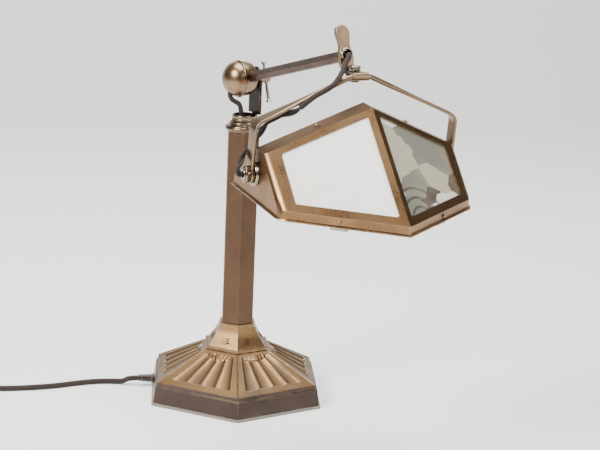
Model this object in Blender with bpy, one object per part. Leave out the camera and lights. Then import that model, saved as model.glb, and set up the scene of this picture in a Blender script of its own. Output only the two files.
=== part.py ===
"""Articulated banker desk lamp: hexagonal weighted foot and column, a swivelling stem
with a ball clamp, a tilting arm, and a two-window shade hung in a bow-shaped yoke.

Metres, +Z up. The origin is the centre of the foot's underside. The front is -Y.
Every moving piece is modelled in the frame of its own joint axis.
"""

import math

import bmesh
import bpy
from mathutils import Matrix, Vector

# ------------------------------------------------------------------ clearances
GAP = 0.0003            # between pieces that rest on each other
FIT = 0.0004            # round a shank in its hole

# ------------------------------------------------------------------ foot
FELT_RADIUS = 0.1014    # hexagon radii are to the corners
FELT_THICK = 0.0025
WALL_FOOT_RADIUS = 0.0997
WALL_TOP_RADIUS = 0.0970
WALL_HEIGHT = 0.0172
STEP_RISE = 0.0042
STEP_INSET = 0.0024
SLOPE_TOP_RADIUS = 0.0360
SLOPE_TOP_Z = 0.0528
SHELL_WALL = 0.0030
PLATE_THICK = 0.0015
WEIGHT_RADIUS = 0.0600
WEIGHT_THICK = 0.0110
WEIGHT_BOSS_RADIUS = 0.0200
PANEL_SIDE_MARGIN = 0.105
PANEL_LOWER_MARGIN = 0.13
PANEL_UPPER_MARGIN = 0.10
PANEL_DEPTH = 0.0010
FLUTES = 4
FLUTE_STEPS = 4
FLUTE_DEPTH = 0.0016

# ------------------------------------------------------------------ neck, column, collar
NECK_FLANGE_RADIUS = 0.0373
NECK_FLANGE_THICK = 0.0026
NECK_SPREAD = 0.0340
NECK_HEIGHT = 0.0256
NECK_LEDGE_RADIUS = 0.0207
NECK_LEDGE_THICK = 0.0026
NECK_POCKET_DEPTH = 0.0045
COLUMN_RADIUS = 0.0183
COLUMN_WALL = 0.0017
COLUMN_LENGTH = 0.2080
COLLAR_RADIUS = 0.0195
COLLAR_RING_HEIGHT = 0.0058
COLLAR_TIER_RADIUS = 0.0148
COLLAR_TIER_HEIGHT = 0.0046
COLLAR_FLOOR = 0.0030
COLLAR_BORE = 0.0126

# ------------------------------------------------------------------ tie tube
TIE_RADIUS = 0.0050
TIE_BORE = 0.0036
TIE_NUT_RADIUS = 0.0086
TIE_NUT_THICK = 0.0040
CABLE_ROOM = 0.0140

# ------------------------------------------------------------------ stem
STEM_TURN = math.radians(25.7)
BUSH_LIP_RADIUS = 0.0130
BUSH_LIP_HEIGHT = 0.0060
BUSH_MOUTH = 0.0109
BUSH_FLOOR = 0.0020
TONGUE_SEAT = 0.0006    # bush left under the strap's tongue
CORD_HOLE_RADIUS = 0.0033
STRAP_FACE = 0.0108     # ball-side face of the strap, from the column axis
STRAP_THICK = 0.0025
STRAP_WIDTH = 0.0240
TONGUE_WIDTH = 0.0080
BALL_HEIGHT = 0.3364

# ------------------------------------------------------------------ ball clamp
DOME_RADIUS = 0.0178
DOME_DEPTH = 0.0145
BALL_WALL = 0.0013
RIM_THICK = 0.0026
RIM_RADIUS = 0.0190
CUP_RADIUS = 0.0180
CUP_FLOOR_RADIUS = 0.0112
CUP_END = 0.0074
CUP_FLOOR = 0.0020
SCREW_RADIUS = 0.0030
SCREW_HEAD_RADIUS = 0.0053
SCREW_HEAD_LENGTH = 0.0146
WASHER_THICK = 0.0028
WASHER_RADIUS = 0.0095
TOMMY_RADIUS = 0.0015
TOMMY_LENGTH = 0.0425
TOMMY_KNOB_RADIUS = 0.0029
TOMMY_KNOB_LENGTH = 0.0028
TOMMY_TURN = math.radians(20.0)
TOMMY_SLIP = 0.0048
TOMMY_PLACE = 0.0232

# ------------------------------------------------------------------ arm
ARM_PITCH = math.radians(15.0)
ARM_SIDE = -0.0005
ARM_START = 0.0130
ARM_REACH = 0.2034      # ball axis to the back face of the head
ARM_FLATS = 0.0104
ARM_WALL = 0.0011
RIM_ROOM = 0.0010       # between the ball's rim and the arm's near corner
RIM_FACE = -round(ARM_FLATS / math.sqrt(3) + RIM_THICK + RIM_ROOM, 4)
HEAD_THICK = 0.0046
HEAD_HALF_WIDTH = 0.0073
HEAD_BOTTOM = 0.0139
PADDLE_TOP = 0.0287
PADDLE_HALF_WIDTH = 0.0071
PADDLE_WAIST = 0.0056
PADDLE_LEAN = math.radians(5.6)
HEAD_SIDE = -0.0012     # the head sits a little to one side of the tube
HEAD_HOLE = 0.0047
HEAD_HOLE_RISE = 0.0010
HEAD_RIM = 0.0015
HEAD_RIM_PROUD = 0.0010

# ------------------------------------------------------------------ yoke clamp
SWIVEL_REACH = 0.0170   # head's back face to the swivel screw, level
SWIVEL_DROP = 0.0148
SWIVEL_SIDE = 0.0003
SHADE_TURN = math.radians(20.8)
TONGUE_THICK = 0.0036
TONGUE_RADIUS = 0.0055
EAR_REACH = 0.0061
ROD_REACH = 0.0130
ROD_RADIUS = 0.0024
CLIP_THICK = 0.0010
CLIP_WIDTH = 0.0160
THUMB_SHANK = 0.0016
THUMB_HEAD_RADIUS = 0.0055
THUMB_HEAD_HEIGHT = 0.0050
THUMB_NUT_RADIUS = 0.0050
THUMB_NUT_HEIGHT = 0.0036

# ------------------------------------------------------------------ yoke
YOKE_LEAN = math.radians(6.9)
YOKE_DROP = 0.0888      # rod axis to pivot axis
LEG_ROOM = 0.0052       # shade end to the middle of a leg
YOKE_FLAT = 0.0095
YOKE_SHOULDER = 0.0405  # rod axis down to the shoulder's inner corner
YOKE_LEG_WIDTH = 0.0130
YOKE_LEG_THICK = 0.0032
YOKE_EYE_RADIUS = 0.0088
YOKE_BEND = 0.0100
YOKE_SWELL = 1.06       # the flattened bar bulges a little

# ------------------------------------------------------------------ shade
SHADE_TILT = math.radians(5.3)
SHADE_HALF_LENGTH = 0.0972
SHADE_FRONT = 0.0600    # pivot axis to the front corners
SHADE_NOSE = 0.1250     # pivot axis to the middle of the front
SHADE_BACK = 0.0465
SHADE_SKIN = 0.0012
RIM_Z = -0.0250
LIP_PROUD = 0.0022
LIP_HEIGHT = 0.0020
FASCIA_TOP = -0.0154
END_TOP = 0.0233
RIDGE_TOP = 0.0674
STRIP_WIDTH = 0.0200
STRIP_MID_FRONT = 0.0320
FRONT_CORNER = 0.0150
TOP_CORNER = 0.0050
CORNER_STEPS = 4
BACK_BULGE = 0.0040
WINDOW_RIDGE = 0.0065
WINDOW_END = 0.0150
WINDOW_TOP = 0.0060
WINDOW_FOOT = 0.0080
GLASS_THICK = 0.0025
GLASS_LAP = 0.0035

FACE_RUN = SHADE_NOSE - STRIP_MID_FRONT
FACE_SHARE = (END_TOP - FASCIA_TOP) / (RIDGE_TOP - FASCIA_TOP)
STRIP_END_FRONT = SHADE_FRONT - FACE_RUN * FACE_SHARE
YOKE_HALF_SPAN = SHADE_HALF_LENGTH + LEG_ROOM

# ------------------------------------------------------------------ shade pivots
PIVOT_RADIUS = 0.0050
PIVOT_BORE = 0.0033
PIVOT_WASHER_RADIUS = 0.0108
PIVOT_NUT_RADIUS = 0.0078
PIVOT_NUT_THICK = 0.0044
PIVOT_SCREW_RADIUS = 0.0038
INNER_NUT_THICK = 0.0035
HOLDER_RADIUS = 0.0170
HOLDER_LENGTH = 0.0300
HOLDER_RING_RADIUS = 0.0195
HOLDER_RING_LENGTH = 0.0080
BULB_CAP_RADIUS = 0.0130
BULB_RADIUS = 0.0200
BULB_LENGTH = 0.0800

# ------------------------------------------------------------------ glass fixings
FIXING_SCREW_RADIUS = 0.0012
FIXING_HEAD_RADIUS = 0.0022
FIXING_HEAD_HEIGHT = 0.0015
CLAMP_WIDTH = 0.0160
CLAMP_THICK = 0.0010
LOWER_SEAT = 0.54       # share of a front face from its nose to its end
UPPER_SEAT = 0.465
UPPER_SEAT_BACK = 0.0018
CLAMP_TAIL = 0.0030

# ------------------------------------------------------------------ cords
LEAD_RADIUS = 0.00275
FLEX_RADIUS = 0.0025
LEAD_EXIT = Vector((-0.0990, 0.0145, 0.0083))
SLEEVE_LENGTH = 0.0200
SLEEVE_RADIUS = 0.0046
JUMPER_SIDE = -0.0174   # where the jumper enters the dome, along the ball's axis
COIL_CENTRE = Vector((-0.3080, 0.0300, 0.0))
COIL_MEAN_RADIUS = 0.0310
COIL_HALF_WIDTH = 0.0102
COIL_HEIGHT = 0.0150
TIE_THICK = 0.0010
TIE_WIDTH = 0.0060
LEAD_SPAN = 0.1024      # half span that the shade lead's route is laid out for
COIL_LIFT = TIE_THICK + GAP
TABLE_Z = LEAD_RADIUS + 0.0001
PLUG_RADIUS = 0.0110
PLUG_LENGTH = 0.0340
PIN_RADIUS = 0.0020
PIN_LENGTH = 0.0190

# ------------------------------------------------------------------ derived heights
SHELL_Z = FELT_THICK + GAP
STEP_Z = SHELL_Z + WALL_HEIGHT
SLOPE_Z = STEP_Z + STEP_RISE
SLOPE_RADIUS = WALL_TOP_RADIUS - STEP_INSET
PLATE_Z = FELT_THICK + GAP
WEIGHT_Z = PLATE_Z + PLATE_THICK + CABLE_ROOM
NECK_Z = SLOPE_TOP_Z + GAP
NECK_TOP = NECK_Z + NECK_HEIGHT
COLUMN_Z = NECK_TOP - NECK_POCKET_DEPTH + GAP
COLLAR_Z = COLUMN_Z + COLUMN_LENGTH + GAP
COLLAR_TOP = COLLAR_Z + COLLAR_RING_HEIGHT + COLLAR_TIER_HEIGHT
BUSH_Z = COLLAR_TOP + GAP
BUSH_TOP = BUSH_Z + BUSH_LIP_HEIGHT
TIE_HOLE = TIE_RADIUS + FIT

HEX = 6
SIDES = 32
SMALL_SIDES = 16


# ------------------------------------------------------------------ helpers
def clear_scene():
    """Remove every object that the file starts with."""
    for item in list(bpy.data.objects):
        bpy.data.objects.remove(item, do_unlink=True)


def finish_material(name, colour, roughness, metallic):
    """A Principled material with one colour."""
    material = bpy.data.materials.new(name)
    material.use_nodes = True
    shader = material.node_tree.nodes["Principled BSDF"]
    shader.inputs["Base Color"].default_value = (*colour, 1.0)
    shader.inputs["Roughness"].default_value = roughness
    shader.inputs["Metallic"].default_value = metallic
    material.diffuse_color = (*colour, 1.0)
    return material


def axis_frame(name, matrix):
    """An empty on a joint axis; pieces parented to it share its frame."""
    frame = bpy.data.objects.new(name, None)
    bpy.context.collection.objects.link(frame)
    frame.matrix_world = matrix
    return frame


def place(name, mesh_data, material, frame=None):
    """Link a mesh object in the frame of its joint axis."""
    item = bpy.data.objects.new(name, mesh_data)
    bpy.context.collection.objects.link(item)
    if material is not None:
        item.data.materials.append(material)
    if frame is not None:
        item.parent = frame
    return item


def solid(name, bm, material, frame=None, crease=40.0):
    """Turn a closed bmesh into a named object with outward faces."""
    bmesh.ops.remove_doubles(bm, verts=bm.verts, dist=1e-6)
    bmesh.ops.recalc_face_normals(bm, faces=bm.faces)
    data = bpy.data.meshes.new(name)
    bm.to_mesh(data)
    bm.free()
    data.shade_smooth()
    data.set_sharp_from_angle(angle=math.radians(crease))
    return place(name, data, material, frame)


def boolean(target, tool, operation="DIFFERENCE"):
    """Cut, join or intersect with a hidden tool."""
    tool.hide_render = True
    tool.display_type = "WIRE"
    modifier = target.modifiers.new(tool.name, "BOOLEAN")
    modifier.operation = operation
    modifier.solver = "EXACT"
    modifier.object = tool


def skin_rings(bm, rings, closed):
    """Bridge rings of points; the last one meets the first, or both ends are capped."""
    loops = [[bm.verts.new(point) for point in ring] for ring in rings]
    count = len(loops[0])
    pairs = list(zip(loops, loops[1:]))
    if closed:
        pairs.append((loops[-1], loops[0]))
    for lower, upper in pairs:
        for i in range(count):
            j = (i + 1) % count
            bm.faces.new((lower[i], lower[j], upper[j], upper[i]))
    if not closed:
        bm.faces.new(list(reversed(loops[0])))
        bm.faces.new(loops[-1])


def polygon(radius, sides, z=0.0, start=-math.pi / 2):
    """Corners of a regular polygon."""
    points = []
    for i in range(sides):
        angle = start + 2 * math.pi * i / sides
        points.append(Vector((radius * math.cos(angle), radius * math.sin(angle), z)))
    return points


def turned(profile, sides, start=-math.pi / 2):
    """Revolve (radius, z) pairs; a profile off the axis closes on itself."""
    bm = bmesh.new()
    off_axis = all(radius > 0 for radius, _ in profile)
    if off_axis:
        skin_rings(bm, [polygon(r, sides, z, start) for r, z in profile], True)
        return bm
    inner = [(r, z) for r, z in profile if r > 0]
    skin_rings(bm, [polygon(r, sides, z, start) for r, z in inner], False)
    for index, (radius, z) in ((0, profile[0]), (-1, profile[-1])):
        if radius == 0 and abs(z - inner[index][1]) > 1e-7:
            cap = min(bm.faces, key=lambda face: (len(face.verts) == 4 and sides != 4,
                                                  abs(face.calc_center_median().z - inner[index][1])))
            bmesh.ops.poke(bm, faces=[cap])
            tip = min(bm.verts, key=lambda v: v.co.xy.length + abs(v.co.z - inner[index][1]))
            tip.co.z = z
    return bm


def arc(centre_r, centre_z, radius, start, stop, steps):
    """Points of an arc in a turned profile, angles in degrees."""
    points = []
    for i in range(steps + 1):
        angle = math.radians(start + (stop - start) * i / steps)
        points.append((centre_r + radius * math.cos(angle), centre_z + radius * math.sin(angle)))
    return points


def prism(outline, low, high, axis="Z"):
    """Extrude a flat outline of (a, b) pairs along an axis."""
    bm = bmesh.new()
    if axis == "Z":
        rings = [[Vector((a, b, h)) for a, b in outline] for h in (low, high)]
    elif axis == "Y":
        rings = [[Vector((a, h, b)) for a, b in outline] for h in (low, high)]
    else:
        rings = [[Vector((h, a, b)) for a, b in outline] for h in (low, high)]
    skin_rings(bm, rings, False)
    return bm


def along_x(bm):
    """Turn a piece made about Z so that its axis is X."""
    bmesh.ops.transform(bm, matrix=Matrix.Rotation(math.pi / 2, 4, "Y"), verts=bm.verts)
    return bm


def shifted(bm, offset):
    """Move a whole bmesh."""
    bmesh.ops.translate(bm, verts=bm.verts, vec=offset)
    return bm


def rod(radius, low, high, sides=SMALL_SIDES):
    """A plain cylinder about Z."""
    return turned([(0, low), (radius, low), (radius, high), (0, high)], sides)


def aimed(bm, point, direction):
    """Place a piece made about Z at a point, looking along a direction."""
    turn = Vector(direction).to_track_quat("Z", "Y").to_matrix().to_4x4()
    bmesh.ops.transform(bm, matrix=Matrix.Translation(point) @ turn, verts=bm.verts)
    return bm


def drill(target, radius, point, direction, depth, name, frame, sides=SMALL_SIDES):
    """Cut a round hole centred on a point, through its whole depth."""
    tool = solid(name, aimed(rod(radius, -depth / 2, depth / 2, sides), point, direction), None, frame)
    boolean(target, tool)


def corner_arc(corner, before, after, radius, steps):
    """Points of the arc that rounds a corner between its neighbours."""
    towards = (before - corner).normalized()
    onwards = (after - corner).normalized()
    half = towards.angle(onwards) / 2
    cut = radius / math.tan(half)
    centre = corner + (towards + onwards).normalized() * (radius / math.sin(half))
    start = (corner + towards * cut - centre).normalized()
    stop = (corner + onwards * cut - centre).normalized()
    return [centre + start.slerp(stop, i / steps) * radius for i in range(steps + 1)]


def smooth_route(points, count):
    """Evenly spaced points of one smooth curve through hand-chosen ones."""
    padded = [points[0] * 2 - points[1]] + list(points) + [points[-1] * 2 - points[-2]]
    fine = []
    for i in range(1, len(padded) - 2):
        p0, p1, p2, p3 = padded[i - 1:i + 3]
        for k in range(20):
            t = k / 20
            fine.append(0.5 * (2 * p1 + (p2 - p0) * t + (2 * p0 - 5 * p1 + 4 * p2 - p3) * t ** 2
                               + (3 * p1 - 3 * p2 + p3 - p0) * t ** 3))
    fine.append(points[-1])
    spans = [0.0]
    for a, b in zip(fine, fine[1:]):
        spans.append(spans[-1] + (b - a).length)
    result = []
    cursor = 0
    for i in range(count):
        goal = spans[-1] * i / (count - 1)
        while cursor < len(spans) - 2 and spans[cursor + 1] < goal:
            cursor += 1
        share = (goal - spans[cursor]) / max(spans[cursor + 1] - spans[cursor], 1e-9)
        result.append(fine[cursor].lerp(fine[cursor + 1], min(share, 1.0)))
    return result


def cord(name, points, radius, material, count, frame=None):
    """A round cord as a filled curve along a smooth route."""
    data = bpy.data.curves.new(name, "CURVE")
    data.dimensions = "3D"
    data.bevel_depth = radius
    data.bevel_resolution = 2
    data.use_fill_caps = True
    route = smooth_route([Vector(point) for point in points], count)
    spline = data.splines.new("POLY")
    spline.points.add(len(route) - 1)
    for target, point in zip(spline.points, route):
        target.co = (*point, 1.0)
    item = bpy.data.objects.new(name, data)
    bpy.context.collection.objects.link(item)
    data.materials.append(material)
    if frame is not None:
        item.parent = frame
    return item


# ------------------------------------------------------------------ materials
def make_materials():
    """The colours of the real finishes."""
    return {
        "bronze": finish_material("aged_bronze", (0.30, 0.21, 0.14), 0.38, 1.0),
        "nickel": finish_material("worn_nickel", (0.55, 0.50, 0.43), 0.25, 1.0),
        "steel": finish_material("zinc_steel", (0.45, 0.45, 0.45), 0.35, 1.0),
        "iron": finish_material("cast_iron", (0.08, 0.08, 0.08), 0.8, 0.6),
        "felt": finish_material("grey_felt", (0.38, 0.35, 0.30), 0.95, 0.0),
        "opal": finish_material("opal_glass", (0.90, 0.90, 0.88), 0.25, 0.0),
        "etched": finish_material("etched_glass", (0.70, 0.70, 0.62), 0.35, 0.0),
        "textile": finish_material("brown_textile", (0.10, 0.06, 0.05), 0.9, 0.0),
        "bakelite": finish_material("dark_bakelite", (0.05, 0.03, 0.02), 0.35, 0.0),
        "ceramic": finish_material("white_ceramic", (0.80, 0.79, 0.75), 0.3, 0.0),
        "bulb": finish_material("frosted_bulb", (0.92, 0.92, 0.90), 0.4, 0.0),
    }


# ------------------------------------------------------------------ foot
def slope_point(corner_a, corner_b, inner_a, inner_b, s, t, depth, normal):
    """A point of a sloping panel, sunk by a depth."""
    low = corner_a.lerp(corner_b, s)
    high = inner_a.lerp(inner_b, s)
    return low.lerp(high, t) - normal * depth


def panel_columns():
    """Places across a panel: margins, then the steps of each flute."""
    columns = [0.0, PANEL_SIDE_MARGIN - 0.01]
    span = 1.0 - 2 * PANEL_SIDE_MARGIN
    steps = FLUTES * FLUTE_STEPS
    columns += [PANEL_SIDE_MARGIN + span * i / steps for i in range(steps + 1)]
    return columns + [1.0 - PANEL_SIDE_MARGIN + 0.01, 1.0]


def flute_depth(index):
    """Depth of the recessed field at one column."""
    steps = FLUTES * FLUTE_STEPS
    if index < 2 or index > steps + 2:
        return 0.0
    place_in_flute = (index - 2) % FLUTE_STEPS / FLUTE_STEPS
    return PANEL_DEPTH + FLUTE_DEPTH * math.sin(math.pi * place_in_flute)


def foot_shell_mesh():
    """Cast hollow foot: wall, step, six fluted slopes, open underneath."""
    bm = bmesh.new()
    wall = SHELL_WALL
    rows = [0.0, PANEL_LOWER_MARGIN - 0.01, PANEL_LOWER_MARGIN,
            1.0 - PANEL_UPPER_MARGIN, 1.0 - PANEL_UPPER_MARGIN + 0.01, 1.0]
    sunk_rows = (2, 3)
    lower = polygon(SLOPE_RADIUS, HEX, SLOPE_Z)
    upper = polygon(SLOPE_TOP_RADIUS, HEX, SLOPE_TOP_Z)
    columns = panel_columns()
    for side in range(HEX):
        nxt = (side + 1) % HEX
        ca, cb, ia, ib = lower[side], lower[nxt], upper[side], upper[nxt]
        normal = (cb - ca).cross(ia - ca).normalized()
        grid = []
        for r, t in enumerate(rows):
            line = []
            for c, s in enumerate(columns):
                depth = flute_depth(c) if r in sunk_rows else 0.0
                line.append(bm.verts.new(slope_point(ca, cb, ia, ib, s, t, depth, normal)))
            grid.append(line)
        for low_line, high_line in zip(grid, grid[1:]):
            for c in range(len(columns) - 1):
                bm.faces.new((low_line[c], low_line[c + 1], high_line[c + 1], high_line[c]))
    outer = [(SLOPE_RADIUS, SLOPE_Z), (SLOPE_RADIUS + 0.0003, STEP_Z + 0.0003), (WALL_TOP_RADIUS, STEP_Z),
             (WALL_FOOT_RADIUS, SHELL_Z)]
    inner = [(WALL_FOOT_RADIUS - wall, SHELL_Z), (WALL_TOP_RADIUS - wall * 1.2, STEP_Z - wall * 0.3),
             (SLOPE_RADIUS - wall * 1.2, SLOPE_Z - wall), (SLOPE_TOP_RADIUS, SLOPE_TOP_Z - 1.15 * wall),
             (TIE_HOLE * 1.2, SLOPE_TOP_Z - 1.15 * wall), (TIE_HOLE * 1.2, SLOPE_TOP_Z),
             (SLOPE_TOP_RADIUS, SLOPE_TOP_Z)]
    profile = outer + inner
    count = len(columns) - 1
    rings = []
    for index, (radius, z) in enumerate(profile):
        ring = polygon(radius, HEX, z)
        if index in (0, len(profile) - 1):
            dense = []
            for side in range(HEX):
                a, b = ring[side], ring[(side + 1) % HEX]
                dense += [a.lerp(b, s) for s in columns[:-1]]
            ring = dense
        rings.append(ring)
    link_rings(bm, rings, count)
    return bm


def link_rings(bm, rings, share):
    """Bridge rings in order; a dense ring has `share` points to each side of a plain one."""
    loops = [[bm.verts.new(point) for point in ring] for ring in rings]
    for first, second in zip(loops, loops[1:]):
        if len(first) == len(second):
            for i in range(len(first)):
                j = (i + 1) % len(first)
                bm.faces.new((first[i], first[j], second[j], second[i]))
            continue
        dense, plain = (first, second) if len(first) > len(second) else (second, first)
        for side in range(len(plain)):
            fan = [dense[(side * share + k) % len(dense)] for k in range(share + 1)]
            bm.faces.new(fan + [plain[(side + 1) % len(plain)], plain[side]])


def make_foot(mats):
    """Felt, plate, weight and shell of the foot."""
    solid("felt_pad", prism([p.xy for p in polygon(FELT_RADIUS, HEX)], 0.0, FELT_THICK), mats["felt"])
    plate_radius = WALL_FOOT_RADIUS - SHELL_WALL * 1.2 - FIT
    plate = prism([p.xy for p in polygon(plate_radius, HEX)], PLATE_Z, PLATE_Z + PLATE_THICK)
    solid("bottom_plate", plate, mats["steel"])
    nut_room = TIE_NUT_RADIUS + FIT
    nut_seat = WEIGHT_Z + TIE_NUT_THICK + 2 * GAP
    boss_top = SLOPE_TOP_Z - 1.15 * SHELL_WALL - GAP
    weight = turned([(nut_room, WEIGHT_Z), (WEIGHT_RADIUS, WEIGHT_Z), (WEIGHT_RADIUS, WEIGHT_Z + WEIGHT_THICK),
                     (WEIGHT_BOSS_RADIUS, WEIGHT_Z + WEIGHT_THICK), (WEIGHT_BOSS_RADIUS, boss_top),
                     (TIE_HOLE, boss_top), (TIE_HOLE, nut_seat), (nut_room, nut_seat)], SIDES)
    solid("base_weight", weight, mats["iron"])
    shell = solid("base_shell", foot_shell_mesh(), mats["bronze"], crease=30.0)
    drill(shell, SLEEVE_RADIUS - 0.0009 + GAP, Vector((-0.0850, LEAD_EXIT.y, LEAD_EXIT.z)),
          (1, 0, 0), 0.0200, "lead_hole_tool", None)


def make_column(mats):
    """Neck, column, collar and the hollow tie tube that clamps them to the foot."""
    hole = TIE_HOLE * 1.2
    pocket = COLUMN_RADIUS + FIT
    flange = NECK_Z + NECK_FLANGE_THICK
    ledge = NECK_TOP - NECK_LEDGE_THICK
    sweep = []
    for i in range(7):
        t = i / 6
        radius = NECK_SPREAD + (NECK_LEDGE_RADIUS + 0.0004 - NECK_SPREAD) * t
        sag = 0.0016 * math.sin(math.pi * t)
        sweep.append((radius - sag, flange + (ledge - flange) * t ** 0.92))
    profile = [(hole, NECK_Z), (NECK_FLANGE_RADIUS, NECK_Z), (NECK_FLANGE_RADIUS, flange - 0.0004),
               (NECK_FLANGE_RADIUS - 0.0004, flange)] + sweep
    profile += [(NECK_LEDGE_RADIUS, ledge), (NECK_LEDGE_RADIUS, NECK_TOP), (pocket, NECK_TOP),
                (pocket, NECK_TOP - NECK_POCKET_DEPTH), (hole, NECK_TOP - NECK_POCKET_DEPTH)]
    solid("neck", turned(profile, HEX), mats["bronze"], crease=20.0)
    inner = COLUMN_RADIUS - COLUMN_WALL * 1.155
    top = COLUMN_Z + COLUMN_LENGTH
    column = turned([(inner, COLUMN_Z), (COLUMN_RADIUS, COLUMN_Z), (COLUMN_RADIUS, top), (inner, top)], HEX)
    solid("column", column, mats["bronze"], crease=20.0)
    ring_top = COLLAR_Z + COLLAR_RING_HEIGHT
    half = COLLAR_RING_HEIGHT / 2
    collar = [(TIE_HOLE, COLLAR_Z), (COLLAR_RADIUS - 0.0010, COLLAR_Z)]
    collar += arc(COLLAR_RADIUS - 0.0012, COLLAR_Z + half, 0.0012, -60, 60, 4)
    collar += [(COLLAR_RADIUS - 0.0010, ring_top), (COLLAR_TIER_RADIUS, ring_top + 0.0004),
               (COLLAR_TIER_RADIUS, COLLAR_TOP - 0.0008), (COLLAR_TIER_RADIUS - 0.0010, COLLAR_TOP),
               (COLLAR_BORE, COLLAR_TOP), (COLLAR_BORE, COLLAR_Z + COLLAR_FLOOR),
               (TIE_HOLE, COLLAR_Z + COLLAR_FLOOR)]
    solid("collar", turned(collar, SIDES), mats["bronze"])
    tie_low = WEIGHT_Z
    tie_high = COLLAR_Z + COLLAR_FLOOR + TIE_NUT_THICK + 0.0012
    tube = turned([(TIE_BORE, tie_low), (TIE_RADIUS, tie_low), (TIE_RADIUS, tie_high), (TIE_BORE, tie_high)],
                  SMALL_SIDES)
    solid("tie_tube", tube, mats["steel"])
    for name, low in (("tie_nut_lower", WEIGHT_Z + GAP), ("tie_nut_upper", COLLAR_Z + COLLAR_FLOOR + GAP)):
        solid(name, hex_nut(TIE_NUT_RADIUS, TIE_HOLE, low, low + TIE_NUT_THICK), mats["steel"])


def hex_nut(radius, bore, low, high):
    """A hexagonal nut with a round bore, about Z."""
    sides = 12
    outer = []
    for i in range(sides):
        corner = polygon(radius, HEX)[i // 2]
        following = polygon(radius, HEX)[(i // 2 + 1) % HEX]
        outer.append(corner if i % 2 == 0 else corner.lerp(following, 0.5))
    inner = polygon(bore, sides)
    bm = bmesh.new()
    rings = [[Vector((p.x, p.y, z)) for p in ring]
             for ring, z in ((inner, low), (outer, low), (outer, high), (inner, high))]
    skin_rings(bm, rings, True)
    return bm


# ------------------------------------------------------------------ stem
def make_stem(mats, stem, ball):
    """Swivel bush, flat strap, washer and clamp screw."""
    spigot = COLLAR_BORE - FIT
    floor_low = BUSH_Z - 0.0024
    floor_high = floor_low + BUSH_FLOOR
    bush = solid("swivel_bush", turned([
        (0, floor_low), (spigot, floor_low), (spigot, BUSH_Z), (BUSH_LIP_RADIUS, BUSH_Z),
        (BUSH_LIP_RADIUS, BUSH_Z + 0.0020), (BUSH_LIP_RADIUS - 0.0007, BUSH_Z + 0.0026),
        (BUSH_LIP_RADIUS - 0.0002, BUSH_TOP - 0.0014), (BUSH_LIP_RADIUS - 0.0008, BUSH_TOP),
        (BUSH_MOUTH + 0.0003, BUSH_TOP), (BUSH_MOUTH, BUSH_TOP - 0.0006), (BUSH_MOUTH, floor_high),
        (0, floor_high)], SIDES), mats["bronze"], stem)
    drill(bush, CORD_HOLE_RADIUS, Vector((0, 0, floor_low)), (0, 0, 1), 0.0100,
          "bush_cord_tool", stem)
    half_tongue = TONGUE_WIDTH / 2
    slot_x = STRAP_FACE + STRAP_THICK / 2
    slot_far = STRAP_FACE + STRAP_THICK + GAP
    slot = prism([(STRAP_FACE - GAP, -half_tongue - GAP), (slot_far, -half_tongue - GAP),
                  (slot_far, half_tongue + GAP), (STRAP_FACE - GAP, half_tongue + GAP)],
                 BUSH_Z + TONGUE_SEAT, BUSH_TOP + 0.0020)
    boolean(bush, solid("bush_slot_tool", slot, None, stem))
    half = STRAP_WIDTH / 2
    tongue_low = BUSH_Z + TONGUE_SEAT + GAP
    outline = [(-half_tongue, tongue_low), (half_tongue, tongue_low),
               (half_tongue, BUSH_TOP + GAP), (half, BUSH_TOP + GAP)]
    outline += [(half * math.cos(math.radians(a)), BALL_HEIGHT + half * math.sin(math.radians(a)))
                for a in range(0, 181, 15)]
    outline += [(-half, BUSH_TOP + GAP), (-half_tongue, BUSH_TOP + GAP)]
    strap = solid("stem_strap", prism(outline, STRAP_FACE, STRAP_FACE + STRAP_THICK, "X"), mats["bronze"], stem)
    drill(strap, SCREW_RADIUS + FIT, Vector((slot_x, 0, BALL_HEIGHT)), (1, 0, 0), 0.0100, "strap_hole_tool", stem)
    low = STRAP_FACE - GAP - WASHER_THICK
    washer = along_x(turned([(SCREW_RADIUS + FIT, low), (WASHER_RADIUS, low), (WASHER_RADIUS, low + WASHER_THICK),
                             (SCREW_RADIUS + FIT, low + WASHER_THICK)], 24))
    solid("friction_washer", washer, mats["steel"], ball)
    head = STRAP_FACE + STRAP_THICK + GAP
    screw = along_x(turned([
        (0, -0.0070), (SCREW_RADIUS, -0.0070), (SCREW_RADIUS, head), (SCREW_HEAD_RADIUS, head),
        (SCREW_HEAD_RADIUS, head + SCREW_HEAD_LENGTH - 0.0012),
        (SCREW_HEAD_RADIUS - 0.0014, head + SCREW_HEAD_LENGTH), (0, head + SCREW_HEAD_LENGTH)], 24))
    screw = solid("clamp_screw", screw, mats["bronze"], ball)
    bar_way = Vector((0, math.sin(TOMMY_TURN), math.cos(TOMMY_TURN)))
    drill(screw, TOMMY_RADIUS + GAP, Vector((TOMMY_PLACE, 0, 0)), bar_way, 0.0200, "tommy_hole_tool", ball)


def make_tommy_bar(mats, frame):
    """The loose bar that turns the clamp screw, in its own sliding frame."""
    low = -TOMMY_LENGTH / 2 - TOMMY_SLIP
    high = low + TOMMY_LENGTH
    knob = TOMMY_KNOB_RADIUS
    neck = TOMMY_KNOB_LENGTH
    bar = turned([(0, low), (knob * 0.9, low), (knob, low + 0.0008), (TOMMY_RADIUS, low + neck),
                  (TOMMY_RADIUS, high - neck), (knob, high - 0.0008), (knob * 0.9, high), (0, high)], 12)
    solid("tommy_bar", bar, mats["nickel"], frame)


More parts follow.
